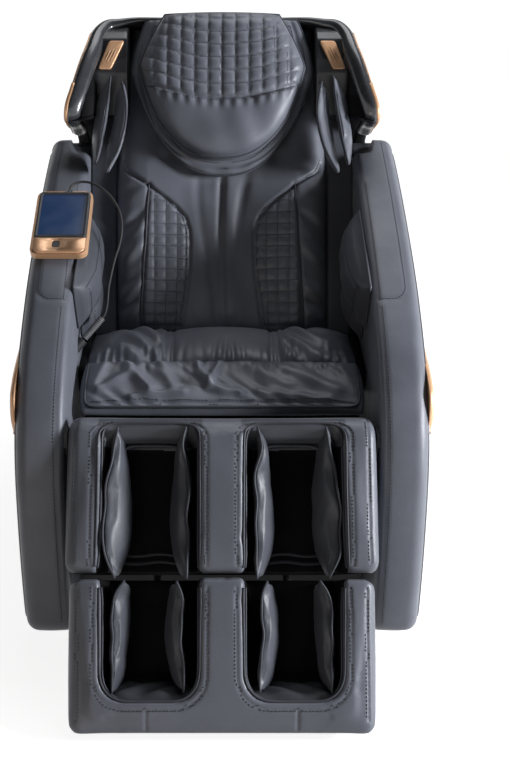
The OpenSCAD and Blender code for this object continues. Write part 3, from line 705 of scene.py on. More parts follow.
for side in SIDES:
    place = CHAIR @ mirrored(side)
    arm = slab("arm_" + side, arm_outline, ARM_IN, ARM_OUT, ARM_INNER_EDGE, ARM_EDGE, 0.0025, place)
    step_down(arm, side)
    turn = np.radians(np.linspace(0, 90, 7))
    corner = [(PANEL_OUT - PANEL_CORNER * (1 - math.cos(a)), PANEL_FRONT + PANEL_CORNER * (1 - math.sin(a)))
              for a in turn]
    outer = [(PANEL_OUT, y) for y in np.linspace(PANEL_REAR, PANEL_FRONT + PANEL_CORNER, 60)] + corner
    outer += [(x, PANEL_FRONT) for x in np.linspace(PANEL_OUT - 0.030, PANEL_IN, 8)]
    outer = chair_line(side, outer)
    inner = chair_line(side, [(PANEL_IN, y) for y in np.linspace(PANEL_INNER_REAR, PANEL_FRONT, 50)])
    front = arm_front_line(side, PANEL_IN + 0.002)
    for row in (outer, inner, front):
        groove(arm, row, 0.0032, 0.0019)
    beside = Vector((SIDES[side] * SEAM_TO_THREAD, 0, 0))
    rows = [[p - beside + Vector((0, 0.003, 0)) for p in outer]]
    rows += [[p + beside for p in row] for row in (inner, front)]
    thread = stitches("arm_stitch_" + side, arm, rows)
    shell = slab("side_" + side, side_outline, ARM_OUT - 0.002, ARM_OUT + 0.003, 0.001, 0.003, 0.0, place)
    dress(arm, "leather", "base", "arm_body_" + side, "arm_pad_" + side, fill=0.9)
    dress(shell, "side", "base", "side_shell_" + side)
    trim = slab("side_trim_" + side, trim_outline, ARM_OUT, TRIM_OUT, 0.001, 0.0085, 0.0, place)
    dress(trim, "copper", "base")
    dress(thread, "thread", "base")

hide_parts("side_trims")

# Back pad: a yoke seam on each side, quilted lumbar panels, a folded middle and wrinkled flanks
BACK_MID = 0.391
BACK_HALF = (0.226, 0.347)
BACK_REAR = 0.038
YOKE = mm([(214, 428), (204, 406), (154, 373), (100, 332), (79, 308), (70, 280), (68, 254), (70, 190),
           (79, 125), (89, 48)]) - (0, BACK_MID)
PIPE = mm([(156, 378), (160, 310), (164, 233), (170, 145), (176, 61)]) - (0, BACK_MID)
QUILT, QUILT_FROM = 0.0245, 0.070
QUILT_THREAD = (0.005, 0.0044, 0.0006)
BACK_LOW = -0.325


def lumbar_edges(z):
    """Inner and outer x of the lumbar panel at a height."""
    return np.interp(z, YOKE[::-1, 1], YOKE[::-1, 0]), np.interp(z, PIPE[::-1, 1], PIPE[::-1, 0])


def past(value, soft):
    """A smooth step from 0 to 1 as value passes 0."""
    return 1 / (1 + np.exp(-value / soft))


def back_face(x, z, s, t):
    flip = np.abs(x)
    full = 0.032 * crown(s, t, 6, 0.5)
    inner, outer = lumbar_edges(z)
    panel = past(PIPE[0, 1] - 0.006 - z, 0.003) * past(flip - inner, 0.002) * past(outer - flip, 0.002)
    squares = np.abs(np.sin(np.pi * (flip - QUILT_FROM) / QUILT) * np.sin(np.pi * z / QUILT)) ** 0.4
    tufts = panel * (0.0050 * squares - 0.003)
    middle = np.exp(-(flip / 0.062) ** 4)
    low = np.clip((0.05 - z) / 0.06, 0, 1)
    spread = 0.058 - 0.13 * (0.03 - z)
    folds = 0.007 * np.exp(-((x - 0.004 * np.sin(14 * z)) / 0.009) ** 2)
    folds = folds + 0.006 * np.exp(-((flip - spread - 0.006 * np.sign(x) * np.sin(19 * z)) / 0.012) ** 2)
    swell = 0.004 * np.sin(24 * z + 55 * x) * np.sin(17 * z - 30 * x + 0.8)
    bolster = 0.016 * np.clip((flip - 0.060) / 0.100, 0, 1) ** 1.3 - 0.008
    flank = past(flip - outer - 0.006, 0.004) * np.clip((0.0 - z) / 0.08, 0, 1)
    waves = np.sin(z * 80 + 70 * flip + 1.6 * np.sin(z * 23)) + 0.5 * np.sin(z * 150 + 95 * flip + 1.0)
    upper = 0.0014 * np.clip(z / 0.05, 0, 1) * np.clip((0.17 - flip) / 0.04, 0, 1)
    upper = upper * np.sin(z * 90 + 60 * flip)
    seams = cut(flip, z, YOKE, 0.0035, 0.006) + cut(flip, z, YOKE + (0.009, 0.005), 0.003, 0.003)
    seams = seams + cut(flip, z, PIPE, 0.005, 0.004)
    soft = (swell - folds) * middle * low + bolster * low + 0.004 * flank * waves + upper
    return full + (tufts + soft - seams) * crown(s, t, 8, 0.5)


back_at = BACK @ Matrix.Translation((0, BACK_REAR, BACK_MID))
back_pad = pad("back_cushion", BACK_HALF, 0.020, back_face, back_at, 0.003, 0.05, 0.12)


def on_pad(place, y, points):
    """Points [x, z] of a pad's own plane, brought out by y, in the row frame."""
    return [place @ Vector((x, -y, z)) for x, z in points]


ABOVE = 0.05
pipe_rows = [on_pad(back_at, ABOVE, smooth(PIPE * (k, 1), 8)) for k in (-1, 1)]
yoke_rows = [on_pad(back_at, ABOVE, smooth(YOKE * (k, 1) + (k * 0.006, 0.004), 8)) for k in (-1, 1)]
back_piping = piping("back_piping", back_pad, pipe_rows)
back_thread = stitches("back_stitch", back_pad, yoke_rows)


def quilt_rows(place, lines, inside):
    """Quilting lines [x, z] of a pad, cut to the places that are inside its panel."""
    rows = []
    for line in lines:
        kept = [p for p in line if inside(*p)]
        if len(kept) > 3:
            rows.append(on_pad(place, ABOVE, kept))
    return rows


def in_lumbar(x, z):
    inner, outer = lumbar_edges(z)
    return inner + 0.003 < abs(x) < outer - 0.003 and z < PIPE[0, 1] - 0.012


fall = np.linspace(BACK_LOW, 0.0, 90)
lumbar_lines = []
for side in SIDES.values():
    lumbar_lines += [[(side * (QUILT_FROM + QUILT * k), z) for z in fall] for k in range(5)]
    lumbar_lines += [[(side * x, -QUILT * k) for x in np.linspace(0.060, 0.180, 40)] for k in range(1, 14)]
lumbar_rows = quilt_rows(back_at, lumbar_lines, in_lumbar)
lumbar_thread = stitches("lumbar_quilting", back_pad, lumbar_rows, *QUILT_THREAD)
dress(lumbar_thread, "piping", "backrest")
dress(back_pad, "leather", "backrest", "back_pad", fill=0.7)
dress(back_piping, "piping", "backrest")
dress(back_thread, "thread", "backrest")

# Head pillow: an outer layer with a bound edge, and over it a pillow quilted above a curved seam
PILLOW_MID = 0.580
PILLOW_HALF = (0.186, 0.156)
PILLOW_SHAPE = {"corner": 0.05, "taper": 0.33, "lift": 0.080}
LAYER_MID = 0.565
LAYER_HALF = (0.208, 0.172)
LAYER_SHAPE = {"corner": 0.05, "taper": 0.20, "lift": 0.096}
PILLOW_REAR, LAYER_REAR = -0.0414, -0.0185
PILLOW_RIM, LAYER_RIM = 0.014, 0.009
SEAM = smooth(mm([(-180, 8), (-150, -6), (-67, -30), (0, -36), (79, -30), (158, -4), (180, 8)]), 8)
PILLOW_QUILT = 0.0285


def seam_at(x):
    return np.interp(x, SEAM[:, 0], SEAM[:, 1])


def pillow_face(x, z, s, t):
    full = 0.033 * crown(s, t, 5, 0.5)
    seam = seam_at(x)
    panel = past(z - seam, 0.002)
    squares = np.abs(np.sin(np.pi * x / PILLOW_QUILT) * np.sin(np.pi * (z - seam) / PILLOW_QUILT)) ** 0.4
    tufts = panel * (0.0060 * squares - 0.0035)
    folds = 0.0022 * np.sin(x * 74 + 26 * z + 1) * np.exp(-((x - 0.045) / 0.06) ** 2)
    folds = folds + 0.002 * np.sin(x * 38 + 1) * np.sin(z * 46)
    pucker = 0.0016 * np.sin(x * 260) * np.exp(-((z - seam + 0.010) / 0.012) ** 2)
    detail = tufts - cut(x, z, SEAM, 0.004, 0.006) + (folds + pucker) * (1 - panel)
    return full + detail * crown(s, t, 8, 0.5)


def base_face(x, z, s, t):
    out = np.maximum(np.abs(s), -t)
    band = np.exp(-((out - 0.90) / 0.022) ** 2)
    ripple = np.sin(x * 120 + 40 * z) * np.exp(-((out - 0.96) / 0.05) ** 2)
    return (0.012 - 0.005 * band) * crown(s, t, 8, 0.5) + 0.0014 * ripple * crown(s, t, 10, 0.4)


base_at = BACK @ Matrix.Translation((0, LAYER_REAR, LAYER_MID))
pillow_at = BACK @ Matrix.Translation((0, PILLOW_REAR, PILLOW_MID))
pillow_base = pad("pillow_layer", LAYER_HALF, LAYER_RIM, base_face, base_at, 0.004, belly=0.002,
                  **LAYER_SHAPE)
pillow = pad("pillow_front", PILLOW_HALF, PILLOW_RIM, pillow_face, pillow_at, 0.003, **PILLOW_SHAPE)
pillow_rows = [on_pad(pillow_at, ABOVE, SEAM[6:-6] - (0, 0.006))]
pillow_thread = stitches("pillow_stitch", pillow, pillow_rows)


def in_quilt(x, z):
    return seam_at(x) + 0.004 < z < 0.128 and abs(x) < 0.172 - 0.45 * max(0.0, z)


across = np.linspace(-0.170, 0.170, 120)
pillow_lines = [[(PILLOW_QUILT * k, z) for z in np.linspace(-0.03, 0.13, 60)] for k in range(-6, 7)]
pillow_lines += [[(x, seam_at(x) + PILLOW_QUILT * k) for x in across] for k in range(1, 6)]
quilting = quilt_rows(pillow_at, pillow_lines, in_quilt)
quilt_thread = stitches("pillow_quilting", pillow, quilting, *QUILT_THREAD)
dress(quilt_thread, "piping", "pillow")
pillow_rim = pad_border(PILLOW_HALF, PILLOW_RIM, **PILLOW_SHAPE)
pillow_edge = tube("pillow_piping", pillow_rim, 0.0026, 8, True, pillow_at)
layer_rim = pad_border(LAYER_HALF, LAYER_RIM, **LAYER_SHAPE)
layer_edge = tube("layer_piping", layer_rim, 0.0024, 8, True, base_at)
layer_ring = pad_border([h - 0.012 for h in LAYER_HALF], ABOVE, **LAYER_SHAPE)
layer_thread = stitches("layer_stitch", pillow_base, [[base_at @ Vector(p) for p in layer_ring]])
dress(pillow_edge, "piping", "pillow")
dress(layer_edge, "piping", "backrest")
dress(pillow_base, "leather", "backrest", "pillow_base", fill=0.7)
dress(pillow, "leather", "pillow", "head_pillow", fill=0.8)
dress(pillow_thread, "thread", "pillow")
dress(layer_thread, "thread", "backrest")

# Seat pad in three gathered sections, and the folded apron over the knee
SEAT_HALF = (0.274, 0.083)
SEAT_SEAM = 0.105


def pleats(x, depth, pitch, seed):
    """Narrow valleys across x at uneven places, spreading and fading with depth from 0 at the seam to 1."""
    value = np.zeros_like(x)
    for k in range(-18, 19):
        at = pitch * (k + 0.34 * math.sin(12.9 * k + seed))
        deep = 0.55 + 0.45 * math.sin(7.3 * k + 2 * seed)
        lean = 0.5 * pitch * math.sin(4.7 * k + seed)
        value += deep * np.exp(-((x - at - lean * depth) / (pitch * (0.16 + 0.22 * depth))) ** 2)
    return value * np.clip(1 - depth, 0, 1) ** 1.2


def seat_face(x, z, s, t):
    depth = np.clip((t + 1) / 1.15, 0, 1)
    section = np.where(np.abs(x) < SEAT_SEAM, x / SEAT_SEAM, (np.abs(x) - 0.190) / 0.085)
    hump = 0.011 * np.clip(1 - np.abs(section) ** 2.4, 0, 1) - 0.004
    seams = sum(0.005 * np.exp(-((np.abs(x) - SEAT_SEAM - d) / 0.003) ** 2) for d in (-0.004, 0.008))
    rolls = 0.0045 * np.sin(60 * x + 90 * z + 2 * np.sin(40 * x)) * (np.abs(x) > SEAT_SEAM + 0.02)
    detail = hump - seams - 0.0125 * pleats(x, depth, 0.019, 0.7) + rolls
    return 0.027 * crown(s, t, 4, 0.6) + detail * crown(s, t, 8, 0.5)


# Folds of the apron: ends [x, z], width and height in metres, seen from the front
FOLDS = [
    (-0.225, 0.061, -0.248, -0.006, 0.012, 0.007), (-0.238, -0.018, -0.184, 0.024, 0.010, 0.006),
    (-0.190, 0.057, -0.139, -0.018, 0.011, 0.008), (-0.123, 0.057, -0.094, -0.010, 0.012, 0.005),
    (-0.053, 0.057, -0.027, -0.002, 0.010, 0.008),
    (-0.005, 0.057, -0.024, -0.006, 0.009, 0.007), (-0.027, -0.010, 0.034, -0.029, 0.009, 0.005),
    (0.046, 0.053, 0.123, -0.006, 0.018, 0.005), (0.123, 0.036, 0.219, -0.018, 0.016, 0.006),
    (-0.171, -0.038, -0.075, -0.024, 0.008, 0.005), (0.072, -0.027, 0.200, -0.044, 0.010, 0.004),
    (0.225, 0.049, 0.257, -0.018, 0.012, 0.005),
]


FOLD_RISE = 1.25
APRON_HALF = (0.270, 0.063)


def apron_face(x, z, s, t):
    folds = FOLD_RISE * sum(cut(x, z, [(x0, z0), (x1, z1)], w, h) for x0, z0, x1, z1, w, h in FOLDS)
    puckers = 0.0065 * pleats(x, np.clip((1 - t) / 0.9, 0, 1), 0.021, 1.9)
    hem = 0.003 * np.exp(-((z + 0.050) / 0.003) ** 2)
    fine = 0.0012 * np.sin(130 * x + 70 * z + 3 * np.sin(50 * z + 20 * x))
    return 0.012 * crown(s, t, 6, 0.5) + (folds - puckers - hem + fine) * crown(s, t, 6, 0.6)


seat_at = CHAIR @ turned((0, -57, 408), ("X", -90))
apron_at = CHAIR @ turned((0, -206, 430), ("X", -70))
seat = pad("seat_cushion", SEAT_HALF, 0.034, seat_face, seat_at, 0.004, 0.06)
apron = pad("seat_skirt", APRON_HALF, 0.014, apron_face, apron_at, 0.003, 0.05)
hem = on_pad(apron_at, 0.04, [(x, -0.0525) for x in np.linspace(-0.258, 0.258, 60)])
apron_thread = stitches("skirt_stitch", apron, [hem])
border = [(-0.262, z) for z in np.linspace(0.055, -0.050, 12)]
border += [(x, -0.0585) for x in np.linspace(-0.256, 0.256, 50)]
border += [(0.262, z) for z in np.linspace(-0.050, 0.055, 12)]
apron_piping = piping("skirt_piping", apron, [on_pad(apron_at, 0.02, border)], 0.0026)
dress(seat, "leather", "base", "seat_pad", fill=0.6)
dress(apron, "leather", "base", "seat_apron", fill=0.5)
dress(apron_thread, "thread", "base")
dress(apron_piping, "piping", "base")


# Airbag flaps: leaves between a front and a rear edge, given as [x, z] in millimetres, piped along the front
LEAVES = {
    "calf": [
        ([(186, -25), (197, -85), (208, -150), (209, -200), (208, -247), (188, -292)],
         [(185, -24), (171, -101), (164, -180), (168, -243), (188, -291)]),
        ([(64, -25), (71, -61), (60, -106), (61, -183), (60, -240), (62, -293)],
         [(74, -30), (82, -101), (90, -180), (87, -246), (69, -291)])],
    "foot": [
        ([(171, -296), (190, -330), (191, -400), (190, -445), (190, -488)],
         [(165, -306), (168, -368), (174, -424), (178, -467), (191, -490)]),
        ([(80, -297), (69, -330), (72, -392), (66, -451), (66, -486)],
         [(90, -304), (98, -363), (95, -424), (86, -470), (72, -486)])],
    "shoulder": [
        ([(233, 588), (238, 540), (246, 487), (254, 441), (263, 402)],
         [(245, 592), (262, 556), (267, 510), (273, 462), (270, 410)]),
        ([(209, 576), (200, 526), (203, 480), (217, 430), (241, 384)],
         [(221, 582), (225, 543), (230, 499), (239, 449), (249, 394)])],
}
# Frame, body, front and rear y, half thickness, waviness of the front edge, and paint
LEAF_KINDS = {
    "calf": (LEG, "legrest", (0.012, 0.070), 0.007, 1.0, "cover"),
    "foot": (LEG, "footrest", (0.012, 0.070), 0.006, 0.5, "cover"),
    "shoulder": (BACK, "backrest", (-0.085, -0.035), 0.005, 0.15, "leather"),
}


def leaf_edges(lines, depths, wave, seed, n=44):
    """The front and rear edges of a flap as n points each, the front one wavy."""
    rows = []
    for points, y in zip(lines, depths):
        line = even(smooth(mm(points), 8), 0.001)
        line = line[np.linspace(0, len(line) - 1, n).astype(int)]
        rows.append(np.column_stack([line[:, 0], np.full(n, y), line[:, 1]]))
    t = np.linspace(0, 1, n)
    rows[0][:, 0] += wave * 0.0018 * np.sin(21 * t + seed) * np.sin(np.pi * t)
    rows[0][:, 1] += wave * 0.0030 * np.sin(15 * t + 2 * seed)
    return rows


def leaf(name, edges, thick):
    """A stuffed flap between two edges, swollen by the cloth simulation."""
    front, rear = edges
    n = len(front)
    turn = np.linspace(0, 2 * np.pi, 28, endpoint=False)
    rings = []
    for k in range(n):
        along = front[min(k + 1, n - 1)] - front[max(k - 1, 0)]
        u = (rear[k] - front[k]) / 2
        normal = np.cross(along, u)
        normal /= np.linalg.norm(normal)
        b = 0.0026 + thick * math.sin(math.pi * k / (n - 1)) ** 0.5
        sine = np.sign(np.sin(turn)) * np.abs(np.sin(turn)) ** 0.8
        rings.append((front[k] + rear[k]) / 2 + np.outer(np.cos(turn), u) + np.outer(b * sine, normal))
    return facing_out(swollen(remeshed(facing_out(loft(name, rings)), 0.004, 3), 0.003))


for kind, rows in LEAVES.items():
    base, body, depths, thick, wave, paint = LEAF_KINDS[kind]
    for side in SIDES:
        for k, lines in enumerate(rows):
            seed = 1.0 + 1.7 * k + SIDES[side]
            edges = leaf_edges(lines, depths, wave, seed)
            flap = leaf(f"{kind}_airbag_{side}_{k}", edges, thick)
            co = coordinates(flap)
            co[:, 0] += 0.0012 * wrinkle(co, 60, seed)
            set_coordinates(flap, co)
            place = base @ mirrored(side)
            flap.data.transform(place)
            facing_out(flap)
            front = edges[0] - (0, 0.001, 0)
            cord_edge = tube(f"{kind}_airbag_piping_{side}_{k}", front, 0.0022, 8, False, place)
            dress(flap, paint, body, fill=0.5)
            dress(cord_edge, "piping", body)
    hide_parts(kind + "_airbags")

# Arm airbags: boxy upholstered panels on the inner faces of the arms, stitched round their faces
INWARD = Matrix.Rotation(math.radians(-90), 4, "Z")
# Place in millimetres, tilt in degrees, half sizes and rise of each panel
ARM_PANELS = [((285, -20, 612), 18, (0.123, 0.054), 0.040), ((285, 0, 534), 14, (0.083, 0.036), 0.033)]
PANEL_RIM = 0.006
PANEL_CORNERS = 0.05
for side in SIDES:
    for k, (at, tilt, half, rise) in enumerate(ARM_PANELS):
        place = CHAIR @ mirrored(side) @ turned(at, ("X", tilt)) @ INWARD

        def panel_face(x, z, s, t):
            flat = np.column_stack([x.ravel(), z.ravel(), 0 * z.ravel()])
            waves = wrinkle(flat, 55, k + SIDES[side]).reshape(x.shape)
            return rise * crown(s, t, 2.8, 0.6) + 0.0022 * waves * crown(s, t)

        name = f"{side}_{k}"
        panel = pad("arm_panel_" + name, half, PANEL_RIM, panel_face, place, 0.004, PANEL_CORNERS, 0.0, 0.003)
        ring = pad_border([h - 0.011 for h in half], PANEL_RIM + rise, PANEL_CORNERS)
        row = [place @ Vector(p) for p in ring]
        groove(panel, row, 0.003, 0.0018, True)
        thread = stitches("arm_panel_stitch_" + name, panel, [row])
        dress(panel, "cover", "base", fill=0.7)
        dress(thread, "thread", "base")
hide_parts("arm_airbags")

# Calf and foot units: upholstered blocks, each with two wells whose mouths are bound and stitched
CALF_LEN = 0.288
CALF_OUT, SHOE_OUT = 0.278, 0.270
CALF_DEPTH, SHOE_DEPTH = 0.112, 0.110
WELL_DEPTH = 0.088
FOOT_TOP = -0.292
FOOT_LOW = FOOT_TOP - 0.270
knee = (KNEE_ROUND, -KNEE_ROUND)
calf_outline = even(np.vstack([
    [(0.026, -CALF_LEN), (0.098, -CALF_LEN), (0.108, -CALF_LEN + 0.004), (CALF_DEPTH, -CALF_LEN + 0.016)],
    [(CALF_DEPTH, -0.085)], arc(knee, KNEE_ROUND, 0, 180, 16),
    [(0, -CALF_LEN + 0.030)], arc((0.026, -CALF_LEN + 0.026), 0.026, 180, 260, 6),
]), 0.007, True)
UNDER = (0.060, FOOT_LOW + 0.031)
shoe_outline = even(np.vstack([
    [(0.012, FOOT_LOW + 0.001), (0.024, FOOT_LOW + 0.004), UNDER, (SHOE_DEPTH, FOOT_LOW + 0.070)],
    [(SHOE_DEPTH, FOOT_TOP - 0.008), (SHOE_DEPTH - 0.008, FOOT_TOP), (0.010, FOOT_TOP)],
    arc((0.010, FOOT_TOP - 0.010), 0.010, 90, 180, 4), [(0, FOOT_LOW + 0.016)],
    arc((0.014, FOOT_LOW + 0.015), 0.014, 180, 260, 5),
]), 0.007, True)


def mouth_line(x_in, x_out, closed_at, r, open_at):
    """Mouth [x, z] of a well: round corners at the height where it is closed, and open at the other end."""
    way = 1 if closed_at > open_at else -1
    middle = closed_at - way * r
    return np.vstack([[(x_out, open_at)], arc((x_out - r, middle), r, 0, way * 90, 12),
                      arc((x_in + r, middle), r, way * 90, way * 180, 12), [(x_in, open_at)]])


def well_block(name, outline, half, mouth, floor_line, deep_line, edge):
    """A block across X with a well on each side of its middle, narrowing from its mouth to its floor."""
    block = remeshed(slab(name, inset(outline, 0.002), 0.002 - half, half - 0.002, edge, edge), VOXEL, 2)
    cutters = []
    for side in SIDES:
        rings = []
        for y, share in ((-0.02, 0), (0.010, 0), (0.020, 0.25), (0.034, 0.75), (0.052, 1), (WELL_DEPTH, 2)):
            line = mouth + (floor_line - mouth) * share if share < 2 else deep_line
            rings.append([(x * SIDES[side], y, z) for x, z in line])
        cutters.append(facing_out(loft("cutter", rings)))
    cutter = join("cutter", cutters)
    hollow = block.modifiers.new("wells", "BOOLEAN")
    hollow.object = cutter
    block = evaluated(block)
    bpy.data.objects.remove(cutter)
    block = swollen(remeshed(block, VOXEL, 4), 0.003)
    block.data.transform(LEG)
    return facing_out(block)


def leg_row(places, y=-0.01):
    return [LEG @ Vector((x, y, z)) for x, z in places]


def repaint(piece, place, paint, test):
    """Gives the faces whose middles pass a test, in a body's own frame, another paint."""
    piece.data.materials.append(PAINTS[paint])
    last = len(piece.data.materials) - 1
    to_local = place.inverted()
    for face in piece.data.polygons:
        if test(to_local @ face.center):
            face.material_index = last


CALF_OPEN, FOOT_OPEN = -CALF_LEN - 0.03, FOOT_TOP + 0.02
calf_mouth = mouth_line(0.039, 0.220, -0.013, 0.030, CALF_OPEN)
calf_floor = mouth_line(0.041, 0.203, -0.052, 0.030, CALF_OPEN)
foot_mouth = mouth_line(0.038, 0.212, -0.502, 0.045, FOOT_OPEN)
foot_floor = mouth_line(0.042, 0.204, -0.512, 0.050, FOOT_OPEN)
foot_deep = mouth_line(0.042, 0.204, -0.470, 0.050, FOOT_OPEN)
calf = well_block("calf_block", calf_outline, CALF_OUT, calf_mouth, calf_floor, calf_floor, 0.018)
shoe = well_block("foot_block", shoe_outline, SHOE_OUT, foot_mouth, foot_floor, foot_deep, 0.022)
front_line = np.vstack([arc(knee, KNEE_ROUND + 0.01, 120, 180, 8),
                        [(-0.01, -0.150), (-0.01, -CALF_LEN + 0.020)]])


def grown(mouth, d):
    """A mouth's line moved outward from the well by d."""
    e = np.gradient(mouth, axis=0)
    e /= np.linalg.norm(e, axis=1)[:, None]
    n = np.column_stack([e[:, 1], -e[:, 0]])
    if (n[len(n) // 2] @ (mouth[len(n) // 2] - mouth.mean(0))) < 0:
        n = -n
    return mouth + d * n


def mouth_rows(mouth, low, high, flip, rows, cords):
    """Adds a mouth's row of stitches and its two cords, between two heights."""
    line = even(mouth, 0.004)
    line = line[(line[:, 1] > low) & (line[:, 1] < high)]
    rows.append(leg_row(grown(line, 0.0120) * flip))
    cords.append(leg_row(grown(line, 0.0015) * flip, 0.004))
    cords.append(leg_row(grown(line, -0.001) * flip, 0.014))


SEAM_X = 0.130
calf_rows, calf_cords, foot_rows, foot_cords, seams = [], [], [], [], []
for way in SIDES.values():
    mouth_rows(calf_mouth, -CALF_LEN + 0.012, 0, (way, 1), calf_rows, calf_cords)
    mouth_rows(foot_mouth, FOOT_LOW, FOOT_TOP - 0.012, (way, 1), foot_rows, foot_cords)
    calf_rows.append([LEG @ Vector((way * (CALF_OUT - 0.013), y, z)) for y, z in front_line])
    heights = np.linspace(FOOT_TOP - 0.02, FOOT_LOW + 0.03, 20)
    foot_rows.append(leg_row([(way * (SHOE_OUT - 0.012), z) for z in heights]))
    seams.append(leg_row([(way * SEAM_X, -0.519), (way * SEAM_X, FOOT_LOW + 0.010)]))
for row in calf_rows:
    groove(calf, row, 0.003, 0.0014)
for row in foot_rows + seams:
    groove(shoe, row, 0.003, 0.0016)
calf_thread = stitches("calf_stitch", calf, calf_rows)
foot_thread = stitches("foot_stitch", shoe, foot_rows)
calf_cord = piping("calf_piping", calf, calf_cords, 0.0021)
foot_cord = piping("foot_piping", shoe, foot_cords, 0.0021)
CALF_NODES = ("calf_post_left", "calf_post_right", "calf_post_center", "calf_lining")
dress(calf, "leather", "legrest", *CALF_NODES, fill=0.9)
dress(shoe, "leather", "footrest", "foot_shoe", fill=0.9)
ROOF = -0.060
UNDER_SLOPE = 0.78


def in_well(p):
    return 0.014 < p.y < WELL_DEPTH + 0.006 and 0.034 < abs(p.x) < 0.222 and -0.522 < p.z < -0.008


def above_sole(p):
    return p.z > UNDER[1] + 0.006 + UNDER_SLOPE * (p.y - UNDER[0])


# The wells are painted near-black as a painted shade inside them, and so are the ends of the two units that face
# each other, as a painted shade between them
repaint(calf, LEG, "lining", lambda p: in_well(p) and p.z <= ROOF)
repaint(calf, LEG, "cover", lambda p: in_well(p) and p.z > ROOF)
repaint(shoe, LEG, "lining", lambda p: in_well(p) and above_sole(p))
repaint(calf, LEG, "lining", lambda p: p.y > 0.016 and p.z < -CALF_LEN + 0.005)
repaint(shoe, LEG, "lining", lambda p: p.y > 0.016 and p.z > FOOT_TOP - 0.005)
dress(calf_thread, "thread", "legrest")
dress(foot_thread, "thread", "footrest")
dress(calf_cord, "piping", "legrest")
dress(foot_cord, "piping", "footrest")

# Hems in the calf wells: the piped lower edge of the knee lining, and two bars at the bottom
hems = []
for side in SIDES:
    place = LEG @ mirrored(side)
    across_well = np.linspace(0.066, 0.186, 26)
    lip = [(x, 0.046, -0.055 - 0.016 * abs((x - 0.126) / 0.060) ** 5) for x in across_well]
    hems.append(tube("lip", lip, 0.0030, 8, False, place))
    for z in (-0.252, -0.266):
        bar = [(x, WELL_DEPTH - 0.002, z + 0.002 * math.sin(70 * x)) for x in across_well]
        hems.append(tube("bar", bar, 0.0032, 8, False, place))
calf_hems = dress(join("calf_hems", hems), "piping", "legrest")
# The bars at the bottom of the calf wells take the darker sole paint, a painted shade deep in the wells
repaint(calf_hems, LEG, "sole", lambda p: p.z < -0.2)

# Soles: thin padded covers over the foot rollers, their paint darkened as a painted shade deep in the foot wells
SOLE_AT = (0.123, 0.045, -0.4875)
SOLE_TILT = 12
SOLE_HALF = (0.068, 0.035)
SOLE_BEND_FROM, SOLE_BEND = 0.022, 39


def sole_face(x, z, s, t):
    bumps = 0.004 * np.exp(-(z / 0.013) ** 2) * np.exp(-(x / 0.034) ** 4)
    return (0.004 + bumps + 0.0035 * np.sin(95 * x + 60 * z + 2 * np.sin(60 * z))) * crown(s, t, 6, 0.6)


for side in SIDES:
    tilt = Matrix.Translation(SOLE_AT) @ Matrix.Rotation(math.radians(SOLE_TILT - 90), 4, "X")
    sole = pad("foot_sole_" + side, SOLE_HALF, 0.002, sole_face, tilt, 0.004, 0.08)
    co = coordinates(sole)
    co[:, 2] -= SOLE_BEND * np.clip(SOLE_BEND_FROM - co[:, 1], 0, None) ** 2
    set_coordinates(sole, co)
    sole.data.transform(LEG @ mirrored(side))
    dress(facing_out(sole), "sole", "footrest", fill=0.4)

# Shoulder wings: a dark inner panel, a rounded band round its front and a copper line at the outer edge.
# Their lower edge stays just outside the arc of the arms, so that they pass it when the back reclines
WING_IN = 0.268
WING_LOW_R, UNDER_WING_R = 0.4945, 0.532
BAND_FROM = 0.50
WING_REAR = [(124, 560), (118, 650), (86, 718), (36, 742)]
WING_FRONT = [(-10, 730), (-50, 690), (-82, 622), (-104, 545)]
wing_low = arc((0, 0), WING_LOW_R, 101, 77.5, 10)
wing_outline = np.vstack([wing_low, smooth(mm(WING_REAR), 8), smooth(mm(WING_FRONT), 8)])
wing_outline = even(wing_outline, OUTLINE_STEP, True)
wing_hub = wing_outline.mean(0)
BLOCK = mm([(-4, 530), (12, 530), (12, 736), (-8, 732), (-40, 702), (-52, 682), (-52, 640), (-45, 608),
            (-26, 570)])
BLOCK_IN = 0.200


def wing_ring(share, d):
    """The wing's outline drawn in by d, a share of the way from its inner face to its flared outer face."""
    shallow = inset(wing_outline, min(d, 0.012))
    ring = shallow + (wing_hub - shallow) * max(0.0, d - 0.012) / 0.11
    ring[:, 1] -= (0.20 + 0.08 * share) * np.clip(ring[:, 1] - 0.600, 0, None)
    flare = 0.322 - 0.050 * (ring[:, 1] - 0.500) / 0.240
    return np.column_stack([WING_IN + share * (flare - WING_IN), ring])


def band_drop(share):
    """How far the front falls back: round over the band, and lower on the panel inside it."""
    if share < BAND_FROM:
        return 0.010 + 0.010 * (1 - share / BAND_FROM) ** 2
    v = abs(2 * (share - BAND_FROM) / (1 - BAND_FROM) - 1)
    return 0.006 + 0.012 * (1 - math.sqrt(max(0.0, 1 - v ** 2.2)))


def wing_part(name, start, stop, place, steps=14):
    rings = [wing_ring(u, band_drop(u)) for u in np.linspace(start, stop, steps)]
    rings = [wing_ring(start, 0.05)] + rings + [wing_ring(stop, 0.05)]
    return facing_out(loft(name, rings, place))


LEAF_SLOTS = [(-0.006, 0.62), (0.0, 0.85), (0.006, 0.62)]


